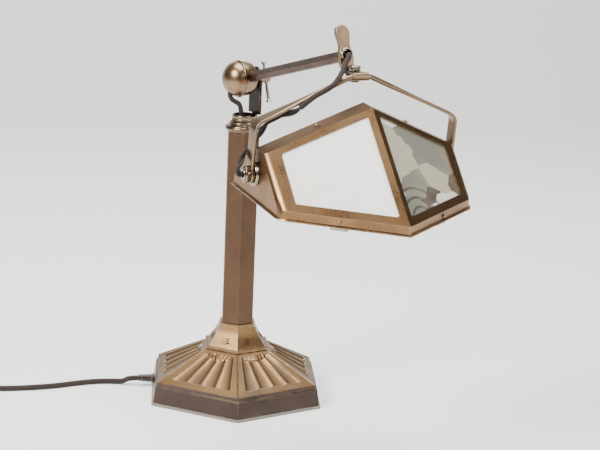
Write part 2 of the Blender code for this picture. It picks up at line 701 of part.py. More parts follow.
# ------------------------------------------------------------------ ball clamp and arm
def make_ball(mats, arm):
    """Dome, rim, cup and nut of the ball, about the clamp axis X."""
    scale = DOME_DEPTH / DOME_RADIUS
    low = RIM_FACE - GAP
    steps = 7
    outer = [(DOME_RADIUS * math.sin(math.radians(a)), low - DOME_DEPTH * math.cos(math.radians(a)))
             for a in [90 * i / steps for i in range(steps + 1)]]
    thin = DOME_RADIUS - BALL_WALL
    inner = [(thin * math.sin(math.radians(a)), low - thin * scale * math.cos(math.radians(a)))
             for a in [90 * i / steps for i in range(steps, -1, -1)]]
    dome = solid("ball_dome", along_x(turned([(0, outer[0][1])] + outer[1:] + inner[:-1] + [(0, inner[-1][1])],
                                             24)), mats["bronze"], arm)
    down = Matrix.Rotation(ARM_PITCH, 3, "X") @ Vector((0, 0, -1))
    entry = Vector((JUMPER_SIDE, 0, 0)) + down * (DOME_RADIUS - 0.0038)
    drill(dome, CORD_HOLE_RADIUS, entry, down, 0.0120, "dome_cord_tool", arm)
    bead = RIM_THICK / 2
    rim = [(DOME_RADIUS - BALL_WALL, RIM_FACE), (RIM_RADIUS - bead, RIM_FACE)]
    rim += arc(RIM_RADIUS - bead, RIM_FACE + bead, bead, -60, 60, 4)
    rim += [(RIM_RADIUS - bead, RIM_FACE + RIM_THICK), (DOME_RADIUS - BALL_WALL, RIM_FACE + RIM_THICK)]
    solid("ball_rim", along_x(turned(rim, 24)), mats["bronze"], arm)
    start = RIM_FACE + RIM_THICK + GAP
    length = CUP_END - start
    outside = []
    inside = []
    for i in range(7):
        angle = math.radians(90 * i / 6)
        swell = math.cos(angle) ** 0.8
        outside.append((CUP_FLOOR_RADIUS + (CUP_RADIUS - CUP_FLOOR_RADIUS) * swell,
                        start + length * math.sin(angle)))
        inside.append((CUP_FLOOR_RADIUS - BALL_WALL + (CUP_RADIUS - CUP_FLOOR_RADIUS) * swell,
                       start + (length - CUP_FLOOR) * math.sin(angle)))
    hole = SCREW_RADIUS + FIT
    cup = along_x(turned(outside + [(hole, CUP_END), (hole, CUP_END - CUP_FLOOR)] + list(reversed(inside)), 24))
    cup = solid("ball_cup", cup, mats["bronze"], arm)
    corner = ARM_FLATS / math.sqrt(3) + GAP
    way = prism([(ARM_SIDE + p.x, p.y) for p in polygon(corner, HEX, 0, 0)], -0.0260, -0.0090, "Y")
    boolean(cup, solid("cup_arm_tool", way, None, arm))
    nut_high = CUP_END - CUP_FLOOR - GAP
    nut = along_x(hex_nut(0.0062, hole, nut_high - 0.0042, nut_high))
    solid("clamp_nut", nut, mats["steel"], arm)
    block = prism([(-0.0190, -0.0055), (-0.0125, -0.0055), (-0.0125, 0.0055), (-0.0190, 0.0055)],
                  -0.0035, 0.0055)
    solid("terminal_block", block, mats["ceramic"], arm)


def make_arm(mats, arm):
    """Hexagonal arm tube with its cast head."""
    corner = ARM_FLATS / math.sqrt(3)
    thin = corner - ARM_WALL * 1.155
    tube = bmesh.new()
    ends = (-ARM_START, -(ARM_REACH - GAP))
    rings = []
    for radius, y in ((thin, ends[0]), (corner, ends[0]), (corner, ends[1]), (thin, ends[1])):
        rings.append([Vector((ARM_SIDE + p.x, y, p.y)) for p in polygon(radius, HEX, 0, 0)])
    skin_rings(tube, rings, True)
    solid("arm_tube", tube, mats["bronze"], arm, crease=20.0)
    back = -ARM_REACH
    front = back - HEAD_THICK
    head = solid("arm_head", prism(head_outline(), front, back, "Y"), mats["bronze"], arm)
    eye = Vector((ARM_SIDE + HEAD_SIDE, front, HEAD_HOLE_RISE))
    rim = aimed(rod(HEAD_HOLE + HEAD_RIM, -HEAD_RIM_PROUD, 0.0020, 20), eye, (0, 1, 0))
    boolean(head, solid("head_rim_tool", rim, None, arm), "UNION")
    swivel = swivel_point_in_arm()
    root = Vector((swivel.x, front + 0.0030, -HEAD_BOTTOM + 0.0040))
    level = Vector((0, -math.cos(ARM_PITCH), -math.sin(ARM_PITCH)))
    rise = Vector((0, -math.sin(ARM_PITCH), math.cos(ARM_PITCH)))
    half = TONGUE_THICK / 2
    knee = swivel - level * (EAR_REACH + 2 * GAP)
    side = [root + rise * half, knee + rise * half, swivel + rise * half,
            swivel - rise * half, knee - rise * half, Vector((0, back - 0.0012, -HEAD_BOTTOM + 0.0030))]
    width = TONGUE_RADIUS
    tongue = prism([(p.y, p.z) for p in side], swivel.x - width, swivel.x + width, "X")
    boolean(head, solid("tongue_tool", tongue, None, arm), "UNION")
    end = aimed(rod(TONGUE_RADIUS, -half, half, 20), swivel, rise)
    boolean(head, solid("tongue_end_tool", end, None, arm), "UNION")
    drill(head, HEAD_HOLE, eye, (0, 1, 0), 0.0200, "head_hole_tool", arm, 20)
    drill(head, THUMB_SHANK + GAP, swivel, rise, 0.0120, "tongue_hole_tool", arm)
    lead = [(ARM_SIDE, -0.0150, 0), (ARM_SIDE, -0.0800, 0), (ARM_SIDE, -0.1500, 0), (ARM_SIDE, front + 0.0005, 0)]
    cord("lead_arm", lead, FLEX_RADIUS, mats["textile"], 14, arm)


def head_outline():
    """Outline of the head: rounded body, waist and leaning thumb paddle, as (x, z)."""
    half_widths = [(-HEAD_BOTTOM, 0.0030), (-HEAD_BOTTOM + 0.0012, 0.0054), (-HEAD_BOTTOM + 0.0040, HEAD_HALF_WIDTH),
                   (0.0000, HEAD_HALF_WIDTH), (0.0045, HEAD_HALF_WIDTH - 0.0012), (0.0080, PADDLE_WAIST + 0.0002),
                   (0.0105, PADDLE_WAIST), (0.0150, PADDLE_WAIST + 0.0012),
                   (0.0190, PADDLE_HALF_WIDTH - 0.0006), (0.0222, PADDLE_HALF_WIDTH)]
    top = 0.0222
    for i in range(1, 6):
        angle = math.pi / 2 * i / 6
        half_widths.append((top + (PADDLE_TOP - top) * math.sin(angle), PADDLE_HALF_WIDTH * math.cos(angle)))
    right = []
    left = []
    for z, half in half_widths:
        centre = ARM_SIDE + HEAD_SIDE - max(z, 0.0) * math.tan(PADDLE_LEAN)
        right.append((centre + half, z))
        left.append((centre - half, z))
    tip = (ARM_SIDE + HEAD_SIDE - PADDLE_TOP * math.tan(PADDLE_LEAN), PADDLE_TOP)
    return right + [tip] + list(reversed(left))


def swivel_point_in_arm():
    """The swivel screw's place in the arm's frame."""
    along = SWIVEL_REACH * math.cos(ARM_PITCH) - SWIVEL_DROP * math.sin(ARM_PITCH)
    down = SWIVEL_REACH * math.sin(ARM_PITCH) + SWIVEL_DROP * math.cos(ARM_PITCH)
    return Vector((ARM_SIDE + SWIVEL_SIDE, -ARM_REACH - along, -down))


# ------------------------------------------------------------------ yoke clamp
def make_clamp(mats, clamp, thumb):
    """Folded clip round the yoke's rod, thumb screw and flanged nut."""
    inner = ROD_RADIUS + GAP
    outer = inner + CLIP_THICK
    ear_low = TONGUE_THICK / 2 + GAP
    ear_high = ear_low + CLIP_THICK
    reach = EAR_REACH

    def wrap(radius, height):
        start = math.degrees(math.asin(height / radius))
        return [(-ROD_REACH + radius * math.cos(math.radians(a)), radius * math.sin(math.radians(a)))
                for a in [start + (360 - 2 * start) * i / 16 for i in range(17)]]

    outline = [(reach, ear_high)] + wrap(outer, ear_high) + [(reach, -ear_high), (reach, -ear_low)]
    outline += list(reversed(wrap(inner, ear_low))) + [(reach, ear_low)]
    clip = solid("yoke_clip", prism(outline, -CLIP_WIDTH / 2, CLIP_WIDTH / 2, "X"), mats["bronze"], clamp)
    plan = [(-CLIP_WIDTH / 2 - 0.001, -ROD_REACH - 0.008), (CLIP_WIDTH / 2 + 0.001, -ROD_REACH - 0.008),
            (CLIP_WIDTH / 2 + 0.001, -ROD_REACH + outer)]
    plan += [(reach * math.cos(math.radians(a)), reach * math.sin(math.radians(a))) for a in range(-10, 191, 20)]
    plan += [(-CLIP_WIDTH / 2 - 0.001, -ROD_REACH + outer)]
    boolean(clip, solid("clip_plan_tool", prism(plan, -0.010, 0.010), None, clamp), "INTERSECT")
    drill(clip, THUMB_SHANK + GAP, Vector((0, 0, 0)), (0, 0, 1), 0.0200, "clip_hole_tool", clamp)
    seat = ear_high + GAP
    bottom = -ear_high - GAP
    nut = turned([(THUMB_SHANK + GAP, bottom), (0.0026, bottom), (0.0024, bottom - THUMB_NUT_HEIGHT + 0.0018),
                  (THUMB_NUT_RADIUS - 0.0004, bottom - THUMB_NUT_HEIGHT + 0.0012),
                  (THUMB_NUT_RADIUS, bottom - THUMB_NUT_HEIGHT + 0.0006),
                  (THUMB_NUT_RADIUS - 0.0006, bottom - THUMB_NUT_HEIGHT),
                  (THUMB_SHANK + GAP, bottom - THUMB_NUT_HEIGHT)], 20)
    solid("thumb_nut", nut, mats["nickel"], clamp)
    screw = turned([(0, bottom - THUMB_NUT_HEIGHT - 0.0006), (THUMB_SHANK, bottom - THUMB_NUT_HEIGHT - 0.0006),
                    (THUMB_SHANK, seat), (THUMB_HEAD_RADIUS - 0.0006, seat), (THUMB_HEAD_RADIUS, seat + 0.0006),
                    (THUMB_HEAD_RADIUS, seat + THUMB_HEAD_HEIGHT - 0.0006),
                    (THUMB_HEAD_RADIUS - 0.0008, seat + THUMB_HEAD_HEIGHT), (0, seat + THUMB_HEAD_HEIGHT)], 20)
    solid("thumb_screw", screw, mats["nickel"], thumb)


# ------------------------------------------------------------------ yoke
def rounded_path(corners, radius, steps):
    """A path through corners, each but the ends rounded by an arc."""
    path = [corners[0]]
    for before, corner, after in zip(corners, corners[1:], corners[2:]):
        path += corner_arc(corner, before, after, radius, steps)
    path.append(corners[-1])
    return path


def yoke_section(distance, length):
    """Width, thickness and roundness of the bar at a distance along it: eye, leg, slope, round middle."""
    from_end = min(distance, length - distance)
    eye = YOKE_EYE_RADIUS
    if from_end < 2 * eye:
        half = math.sqrt(max(eye ** 2 - (from_end - eye) ** 2, (0.25 * eye) ** 2))
        if from_end > eye:
            half = max(half, YOKE_LEG_WIDTH / 2)
        return 2 * half, YOKE_LEG_THICK, 0.0
    leg = YOKE_DROP - YOKE_SHOULDER + eye
    blend = min(max((from_end - leg) / (0.75 * (length / 2 - leg)), 0.0), 1.0)
    smooth = blend * blend * (3 - 2 * blend)
    width = YOKE_LEG_WIDTH + (2 * ROD_RADIUS - YOKE_LEG_WIDTH) * smooth
    return width, YOKE_LEG_THICK + (2 * ROD_RADIUS - YOKE_LEG_THICK) * smooth ** 3, smooth


def make_yoke(mats, yoke):
    """Bow-shaped yoke: round in its clip, flattened to legs with eyes."""
    half = YOKE_HALF_SPAN
    eye_end = -YOKE_DROP - YOKE_EYE_RADIUS
    corners = [(-half, eye_end), (-half, -YOKE_SHOULDER), (-YOKE_FLAT, 0.0), (YOKE_FLAT, 0.0),
               (half, -YOKE_SHOULDER), (half, eye_end)]
    path = rounded_path([Vector((x, 0, z)) for x, z in corners], YOKE_BEND, 5)
    path = refine_path(path, 0.0085)
    lengths = [0.0]
    for a, b in zip(path, path[1:]):
        lengths.append(lengths[-1] + (b - a).length)
    rings = []
    for i, point in enumerate(path):
        ahead = path[min(i + 1, len(path) - 1)] - path[max(i - 1, 0)]
        across = Vector((0, 1, 0))
        outward = ahead.normalized().cross(across)
        width, thick, roundness = yoke_section(lengths[i], lengths[-1])
        power = 0.7 + 0.3 * roundness
        swell = YOKE_SWELL - (YOKE_SWELL - 1.0) * roundness
        ring = []
        for k in range(8):
            angle = math.radians(22.5 + 45 * k)
            x = math.copysign(abs(math.cos(angle)) ** power, math.cos(angle))
            y = math.copysign(abs(math.sin(angle)) ** power, math.sin(angle))
            ring.append(point + across * (x * width / 2 * swell) + outward * (y * thick / 2 * swell))
        rings.append(ring)
    bm = bmesh.new()
    skin_rings(bm, rings, False)
    bar = solid("yoke_bar", bm, mats["bronze"], yoke, crease=50.0)
    for side, radius in ((-1, PIVOT_RADIUS), (1, PIVOT_SCREW_RADIUS)):
        drill(bar, radius + FIT, Vector((side * half, 0, -YOKE_DROP)), (1, 0, 0), 0.0200,
              "yoke_eye_tool_%d" % (side + 1), yoke)


def refine_path(path, step):
    """Split long straight runs of a path, and shorten the first and last steps."""
    result = [path[0]]
    for a, b in zip(path, path[1:]):
        pieces = max(1, math.ceil((b - a).length / step))
        near_end = a is path[0] or b is path[-1]
        if near_end:
            pieces *= 2
        result += [a.lerp(b, k / pieces) for k in range(1, pieces + 1)]
    return result


# ------------------------------------------------------------------ shade
def offset_outline(points, distance):
    """Move each side of a closed outline, listed anticlockwise from above, outward."""
    moved = []
    count = len(points)
    for i, point in enumerate(points):
        before = (point - points[i - 1]).normalized()
        after = (points[(i + 1) % count] - point).normalized()
        normal_a = Vector((before.y, -before.x))
        normal_b = Vector((after.y, -after.x))
        bisector = (normal_a + normal_b).normalized()
        moved.append(point + bisector * (distance / bisector.dot(normal_a)))
    return moved


def rim_outline(offset):
    """Plan of the rim: back left, front left arc, nose, front right arc, back right, back middle."""
    half = SHADE_HALF_LENGTH
    sharp = [Vector((-half, SHADE_BACK)), Vector((-half, -SHADE_FRONT)), Vector((0, -SHADE_NOSE)),
             Vector((half, -SHADE_FRONT)), Vector((half, SHADE_BACK)), Vector((0, SHADE_BACK))]
    sharp = offset_outline(sharp, offset)
    result = [sharp[0]]
    result += corner_arc(sharp[1], sharp[0], sharp[2], FRONT_CORNER + offset, CORNER_STEPS)
    result.append(sharp[2])
    result += corner_arc(sharp[3], sharp[2], sharp[4], FRONT_CORNER + offset, CORNER_STEPS)
    return result + [sharp[4], sharp[5]]


def top_outline():
    """The top strips' outline, raised towards the middle; same order as the rim's."""
    half = SHADE_HALF_LENGTH
    back_end = STRIP_WIDTH - STRIP_END_FRONT
    back_mid = STRIP_WIDTH - STRIP_MID_FRONT
    sharp = [Vector((-half, back_end)), Vector((-half, -STRIP_END_FRONT)), Vector((0, -STRIP_MID_FRONT)),
             Vector((half, -STRIP_END_FRONT)), Vector((half, back_end)), Vector((0, back_mid))]
    plan = [sharp[0]]
    plan += corner_arc(sharp[1], sharp[0], sharp[2], TOP_CORNER, CORNER_STEPS)
    plan.append(sharp[2])
    plan += corner_arc(sharp[3], sharp[2], sharp[4], TOP_CORNER, CORNER_STEPS)
    plan += [sharp[4], sharp[5]]
    return [Vector((p.x, p.y, RIDGE_TOP - (RIDGE_TOP - END_TOP) * abs(p.x) / half)) for p in plan]


def shade_loops():
    """Outer loops of the shade from the lip up to the top strips."""
    loops = []
    for z, offset in ((RIM_Z, LIP_PROUD), (RIM_Z + LIP_HEIGHT, LIP_PROUD), (RIM_Z + LIP_HEIGHT + 0.0008, 0.0),
                      (FASCIA_TOP, 0.0)):
        loops.append([Vector((p.x, p.y, z)) for p in rim_outline(offset)])
    top = top_outline()
    middle = []
    for low, high in zip(loops[-1], top):
        point = low.lerp(high, 0.42)
        if low.y > SHADE_BACK - 0.001:
            outward = Vector((0, high.z - low.z, low.y - high.y)).normalized()
            point += outward * BACK_BULGE
        middle.append(point)
    return loops + [middle, top]


def shade_skin():
    """The shade's outer skin, open underneath."""
    bm = bmesh.new()
    loops = [[bm.verts.new(point) for point in loop] for loop in shade_loops()]
    count = len(loops[0])
    for lower, upper in zip(loops, loops[1:]):
        for i in range(count):
            j = (i + 1) % count
            bm.faces.new((lower[i], lower[j], upper[j], upper[i]))
    top = loops[-1]
    nose = CORNER_STEPS + 2
    bm.faces.new([top[-1], top[0]] + top[1:nose + 1])
    bm.faces.new(top[nose:-1] + [top[-1]])
    bmesh.ops.recalc_face_normals(bm, faces=bm.faces)
    for face in bm.faces:
        if face.calc_center_median().z > RIDGE_TOP * 0.6 and face.normal.z < 0:
            bmesh.ops.reverse_faces(bm, faces=bm.faces)
            break
    return bm


class Face:
    """One front face of the shade: its plane, its corners and its window."""

    def __init__(self, side):
        """Take the corners of the left (-1) or right (1) front face."""
        half = SHADE_HALF_LENGTH
        self.side = side
        self.corners = [Vector((side * half, -SHADE_FRONT, FASCIA_TOP)), Vector((0, -SHADE_NOSE, FASCIA_TOP)),
                        Vector((0, -STRIP_MID_FRONT, RIDGE_TOP)), Vector((side * half, -STRIP_END_FRONT, END_TOP))]
        foot = self.corners[1] - self.corners[0]
        ridge = self.corners[2] - self.corners[1]
        self.normal = foot.cross(ridge).normalized()
        if self.normal.z < 0:
            self.normal = -self.normal
        self.origin = self.corners[1]
        self.along = foot.normalized() * -1
        self.up = (ridge - self.along * ridge.dot(self.along)).normalized()

    def flat(self, point):
        """Coordinates of a point in the face's plane."""
        offset = point - self.origin
        return Vector((offset.dot(self.along), offset.dot(self.up)))

    def lifted(self, flat, depth):
        """A point of the plane, sunk inward by a depth."""
        return self.origin + self.along * flat.x + self.up * flat.y - self.normal * depth

    def inset(self, margins):
        """The face's outline with its foot, ridge, top and end sides moved in."""
        corners = [self.flat(point) for point in self.corners]
        centre = sum(corners, Vector((0, 0))) / 4
        lines = []
        for i, margin in enumerate(margins):
            a, b = corners[i], corners[(i + 1) % 4]
            way = (b - a).normalized()
            normal = Vector((-way.y, way.x))
            if (centre - a).dot(normal) < 0:
                normal = -normal
            lines.append((a + normal * margin, way))
        result = []
        for i in range(4):
            (p, d), (q, e) = lines[i - 1], lines[i]
            cross = d.x * e.y - d.y * e.x
            share = ((q.x - p.x) * e.y - (q.y - p.y) * e.x) / cross
            result.append(p + d * share)
        return result

    def slab(self, margins, near, far):
        """A flat plate between two depths behind the face."""
        outline = self.inset(margins)
        bm = bmesh.new()
        skin_rings(bm, [[self.lifted(p, near) for p in outline], [self.lifted(p, far) for p in outline]], False)
        return bm


def window_margins(extra=0.0):
    """Distances of the window's sides from the face's foot, ridge, top and end."""
    return (WINDOW_FOOT - extra, WINDOW_RIDGE - extra, WINDOW_TOP - extra, WINDOW_END - extra)


def make_shade(mats, shade):
    """Shell, windows, fixings, pivots, lampholder and bulb."""
    shell = solid_skin("shade_shell", shade_skin(), mats["bronze"], shade)
    for side, label, material in ((-1, "left", "opal"), (1, "right", "etched")):
        face = Face(side)
        tool = solid("window_tool_" + label, face.slab(window_margins(), -0.0060, 0.0050), None, shade)
        boolean(shell, tool)
        near = SHADE_SKIN + GAP
        glass = face.slab(window_margins(GLASS_LAP), near, near + GLASS_THICK)
        solid("glass_" + label, glass, mats[material], shade)
        make_fixings(mats, shade, shell, side, label)
    for side, radius in ((-1, PIVOT_RADIUS), (1, PIVOT_SCREW_RADIUS)):
        drill(shell, radius + FIT, Vector((side * SHADE_HALF_LENGTH, 0, 0)), (1, 0, 0), 0.0200,
              "shade_pivot_tool_%d" % (side + 1), shade)
    make_pivots(mats, shade)
    make_lamp(mats, shade)


def solid_skin(name, bm, material, frame):
    """A sheet-metal piece: an outer skin thickened inward."""
    data = bpy.data.meshes.new(name)
    bm.to_mesh(data)
    bm.free()
    item = place(name, data, material, frame)
    wall = item.modifiers.new("wall", "SOLIDIFY")
    wall.thickness = SHADE_SKIN
    wall.offset = -1.0
    wall.use_even_offset = True
    return item


def make_fixings(mats, shade, shell, side, label):
    """Two clamps and their screws to each pane: one under the top strip, one behind the fascia."""
    foot_way = Vector((side * SHADE_HALF_LENGTH, SHADE_NOSE - SHADE_FRONT, 0)).normalized()
    outward = Vector((foot_way.y * side, -abs(foot_way.x), 0)).normalized()
    seat = Vector((0, -SHADE_NOSE, 0)) + Vector((side * SHADE_HALF_LENGTH, SHADE_NOSE - SHADE_FRONT, 0)) * LOWER_SEAT
    height = FASCIA_TOP - FIXING_HEAD_RADIUS - 0.0020
    screw_at = Vector((seat.x, seat.y, height))
    near = SHADE_SKIN + GAP
    far = near + CLAMP_THICK
    low = RIM_Z - CLAMP_TAIL
    high = FASCIA_TOP - 0.0012
    half = CLAMP_WIDTH / 2
    clamp = bmesh.new()
    rings = []
    for z in (low, high):
        base = Vector((seat.x, seat.y, z))
        rings.append([base - outward * near - foot_way * half, base - outward * near + foot_way * half,
                      base - outward * far + foot_way * half, base - outward * far - foot_way * half])
    skin_rings(clamp, rings, False)
    clamp = solid("lower_clamp_" + label, clamp, mats["steel"], shade)
    fixing(mats, shade, (shell, clamp), screw_at, outward, far, "lower_screw_" + label)

    half_x = SHADE_HALF_LENGTH * UPPER_SEAT
    rise = (RIDGE_TOP - END_TOP) / SHADE_HALF_LENGTH
    slope = Vector((side * 1.0, 0, -rise)).normalized()
    up = Vector((side * rise, 0, 1.0)).normalized()
    middle_y = -(STRIP_END_FRONT + STRIP_MID_FRONT) / 2 + STRIP_WIDTH / 2 + UPPER_SEAT_BACK
    top_z = RIDGE_TOP - rise * half_x
    seat = Vector((side * half_x, middle_y, top_z))
    across = Vector((0, 1, 0))
    half = CLAMP_WIDTH / 3
    plate = bmesh.new()
    rings = []
    for depth in (near, far):
        base = seat - up * depth
        rings.append([base - slope * half - across * 0.0040, base + slope * half - across * 0.0040,
                      base + slope * half + across * 0.0060, base - slope * half + across * 0.0060])
    skin_rings(plate, rings, False)
    plate = solid("upper_clamp_" + label, plate, mats["steel"], shade)
    fixing(mats, shade, (shell, plate), seat, up, far, "upper_screw_" + label)


def fixing(mats, shade, targets, seat, outward, depth, name):
    """A domed screw through a wall and its clamp."""
    for index, target in enumerate(targets):
        drill(target, FIXING_SCREW_RADIUS + GAP, seat, outward, 0.0120, "%s_tool_%d" % (name, index), shade, 12)
    head = FIXING_HEAD_RADIUS
    screw = turned([(0, -depth - 0.0020), (FIXING_SCREW_RADIUS, -depth - 0.0020), (FIXING_SCREW_RADIUS, GAP),
                    (head, GAP), (head * 0.86, GAP + FIXING_HEAD_HEIGHT * 0.6),
                    (head * 0.5, GAP + FIXING_HEAD_HEIGHT), (0, GAP + FIXING_HEAD_HEIGHT)], 12)
    solid(name, aimed(screw, seat, outward), mats["nickel"], shade)


def make_pivots(mats, shade):
    """Hollow left pivot for the lead, plain right pivot screw."""
    inside = SHADE_HALF_LENGTH - SHADE_SKIN
    leg_in = YOKE_HALF_SPAN - YOKE_LEG_THICK / 2 * YOKE_SWELL
    leg_out = YOKE_HALF_SPAN + YOKE_LEG_THICK / 2 * YOKE_SWELL
    outer = leg_out + GAP + PIVOT_NUT_THICK
    nipple_in = inside - GAP - 0.0080
    nipple = along_x(turned([(PIVOT_BORE, -outer - 0.0006), (PIVOT_RADIUS, -outer - 0.0006),
                             (PIVOT_RADIUS, -nipple_in), (PIVOT_BORE, -nipple_in)], SMALL_SIDES))
    solid("pivot_nipple", nipple, mats["steel"], shade)
    washer_low = SHADE_HALF_LENGTH + GAP
    washer_high = leg_in - GAP
    for side, radius, label in ((-1, PIVOT_RADIUS, "left"), (1, PIVOT_SCREW_RADIUS, "right")):
        hole = radius + FIT
        ends = sorted((side * washer_low, side * washer_high))
        ring = [(hole, ends[0]), (PIVOT_WASHER_RADIUS, ends[0]), (PIVOT_WASHER_RADIUS, ends[1]), (hole, ends[1])]
        solid("pivot_washer_" + label, along_x(turned(ring, 24)), mats["nickel"], shade)
    hole = PIVOT_RADIUS + FIT
    nut = [(hole, -outer), (PIVOT_NUT_RADIUS - 0.0014, -outer), (PIVOT_NUT_RADIUS, -outer + 0.0016),
           (PIVOT_NUT_RADIUS, -leg_out - GAP), (hole, -leg_out - GAP)]
    solid("pivot_nut_left", along_x(turned(nut, 20)), mats["bronze"], shade)
    shank = PIVOT_SCREW_RADIUS
    screw = [(0, inside - 0.0070), (shank, inside - 0.0070), (shank, leg_out + GAP),
             (PIVOT_NUT_RADIUS, leg_out + GAP), (PIVOT_NUT_RADIUS, outer - 0.0014),
             (PIVOT_NUT_RADIUS - 0.0014, outer), (0, outer)]
    solid("pivot_screw_right", along_x(turned(screw, 20)), mats["bronze"], shade)
    nut = hex_nut(0.0072, shank + FIT, inside - GAP - INNER_NUT_THICK, inside - GAP)
    solid("pivot_nut_right", along_x(nut), mats["steel"], shade)


def make_lamp(mats, shade):
    """Lampholder on the hollow pivot, with its ring and bulb, along the pivot axis."""
    start = -(SHADE_HALF_LENGTH - SHADE_SKIN) + GAP
    hole = PIVOT_RADIUS + FIT
    end = start + HOLDER_LENGTH
    wall = 0.0024
    mouth = HOLDER_RADIUS - wall
    body = [(hole, start), (HOLDER_RADIUS * 0.62, start), (HOLDER_RADIUS, start + 0.0060), (HOLDER_RADIUS, end),
            (mouth, end), (mouth, start + 0.0110), (hole, start + 0.0110)]
    solid("lampholder_body", along_x(turned(body, 24)), mats["bakelite"], shade)
    ring_low = end - HOLDER_RING_LENGTH - 0.0020
    ring = [(HOLDER_RADIUS + GAP, ring_low), (HOLDER_RING_RADIUS, ring_low), (HOLDER_RING_RADIUS, ring_low + 0.0070),
            (HOLDER_RADIUS + GAP, ring_low + HOLDER_RING_LENGTH)]
    solid("lampholder_ring", along_x(turned(ring, 24)), mats["bakelite"], shade)
    cap_low = start + 0.0130
    cap_high = end + 0.0030
    cap = [(0, cap_low), (0.0050, cap_low), (BULB_CAP_RADIUS, cap_low + 0.0040), (BULB_CAP_RADIUS, cap_high),
           (0, cap_high)]
    solid("bulb_cap", along_x(turned(cap, 20)), mats["steel"], shade)
    low = cap_high + GAP
    centre = low + BULB_LENGTH - BULB_RADIUS
    profile = [(0, low), (BULB_CAP_RADIUS, low), (BULB_CAP_RADIUS + 0.0008, low + 0.0080)]
    profile += [(BULB_RADIUS * math.cos(math.radians(a)), centre + BULB_RADIUS * math.sin(math.radians(a)))
                for a in range(-40, 89, 16)]
    profile.append((0, centre + BULB_RADIUS))
    solid("bulb_glass", along_x(turned(profile, 24)), mats["bulb"], shade)


# ------------------------------------------------------------------ leads
def make_leads(mats, stem, yoke):
    """The mains lead in and out of the foot, the jumper to the ball, and the lead to the shade."""
    sleeve_end = LEAD_EXIT.x - SLEEVE_LENGTH + 0.0160
    wall_x = -(WALL_TOP_RADIUS + WALL_FOOT_RADIUS) / 2 * math.cos(math.pi / 6)
    bore = LEAD_RADIUS + GAP
    body = SLEEVE_RADIUS - 0.0009
    flange = wall_x - 0.0012
    grommet = [(bore, wall_x + 0.0060), (body, wall_x + 0.0060), (body, flange), (SLEEVE_RADIUS, flange - 0.0004),
               (SLEEVE_RADIUS, flange - 0.0020), (bore + 0.0007, sleeve_end), (bore, sleeve_end)]
    grommet = [(r, -z) for r, z in grommet]
    ring = turned(grommet, SMALL_SIDES)
    aimed(ring, Vector((0, LEAD_EXIT.y, LEAD_EXIT.z)), (-1, 0, 0))
    solid("cord_grommet", ring, mats["bakelite"])
    start = Vector((sleeve_end - GAP / 2, LEAD_EXIT.y, LEAD_EXIT.z))
    inner = [start + Vector((GAP, 0, 0)), Vector((-0.0780, LEAD_EXIT.y, LEAD_EXIT.z)),
             Vector((-0.0560, 0.0110, 0.0082)), Vector((-0.0300, 0.0050, 0.0081)), Vector((-0.0140, 0.0012, 0.0083)),
             Vector((-0.0062, 0.0002, 0.0100)), Vector((-0.0015, 0.0, 0.0138)), Vector((0.0, 0.0, 0.0185)),
             Vector((0.0, 0.0, 0.0300)),
             Vector((0.0, 0.0, 0.1000)), Vector((0.0, 0.0, 0.2000)), Vector((0.0, 0.0, COLLAR_Z + 0.0040))]
    cord("lead_inner", inner, LEAD_RADIUS, mats["textile"], 60)
    table = TABLE_Z
    rest = COIL_CENTRE + Vector((0, -COIL_MEAN_RADIUS - COIL_HALF_WIDTH - LEAD_RADIUS - GAP, 0))
    run = [start, start + Vector((-0.0100, 0.0004, -0.0014)), Vector((-0.1200, 0.0165, 0.0036)),
           Vector((-0.1350, 0.0178, table)), Vector((-0.1520, 0.0150, table)), Vector((-0.1700, 0.0080, table)),
           Vector((-0.1900, -0.0010, table)), Vector((-0.2150, -0.0085, table)), Vector((-0.2420, -0.0135, table)),
           Vector((-0.2700, rest.y, table)), Vector((-0.2900, rest.y - 0.0001, table)),
           Vector((COIL_CENTRE.x + 0.0010, rest.y, table))]
    cord("mains_lead", run, LEAD_RADIUS, mats["textile"], 40)
    inside = COIL_MEAN_RADIUS - COIL_HALF_WIDTH
    outside = COIL_MEAN_RADIUS + COIL_HALF_WIDTH
    coil = turned([(inside, 0.0010), (inside + 0.0010, 0.0), (outside - 0.0010, 0.0), (outside, 0.0010),
                   (outside, COIL_HEIGHT - 0.0030), (outside - 0.0030, COIL_HEIGHT), (inside + 0.0030, COIL_HEIGHT),
                   (inside, COIL_HEIGHT - 0.0030)], SIDES)
    solid("mains_coil", shifted(coil, COIL_CENTRE + Vector((0, 0, COIL_LIFT))), mats["textile"])
    make_plug(mats)
    floor = BUSH_Z - 0.0024
    jumper = [(0, 0, COLLAR_Z + 0.0047), (0, 0, floor), (-0.0004, 0, floor + 0.0026),
              (-0.0024, 0, BUSH_TOP - 0.0019), (-0.0038, 0, BUSH_TOP + 0.0020),
              (-0.0046, 0, BUSH_TOP + 0.0061), (-0.0064, 0, BUSH_TOP + 0.0103),
              (-0.0104, 0, BUSH_TOP + 0.0130), (-0.0150, 0, BUSH_TOP + 0.0160),
              (-0.0171, 0, BUSH_TOP + 0.0198), (JUMPER_SIDE, 0, BALL_HEIGHT - 0.0125),
              (JUMPER_SIDE, 0, BALL_HEIGHT - 0.0080)]
    cord("lead_jumper", jumper, FLEX_RADIUS, mats["textile"], 16, stem)
    cord("lead_yoke", yoke_lead_points(), FLEX_RADIUS, mats["textile"], 60, yoke)


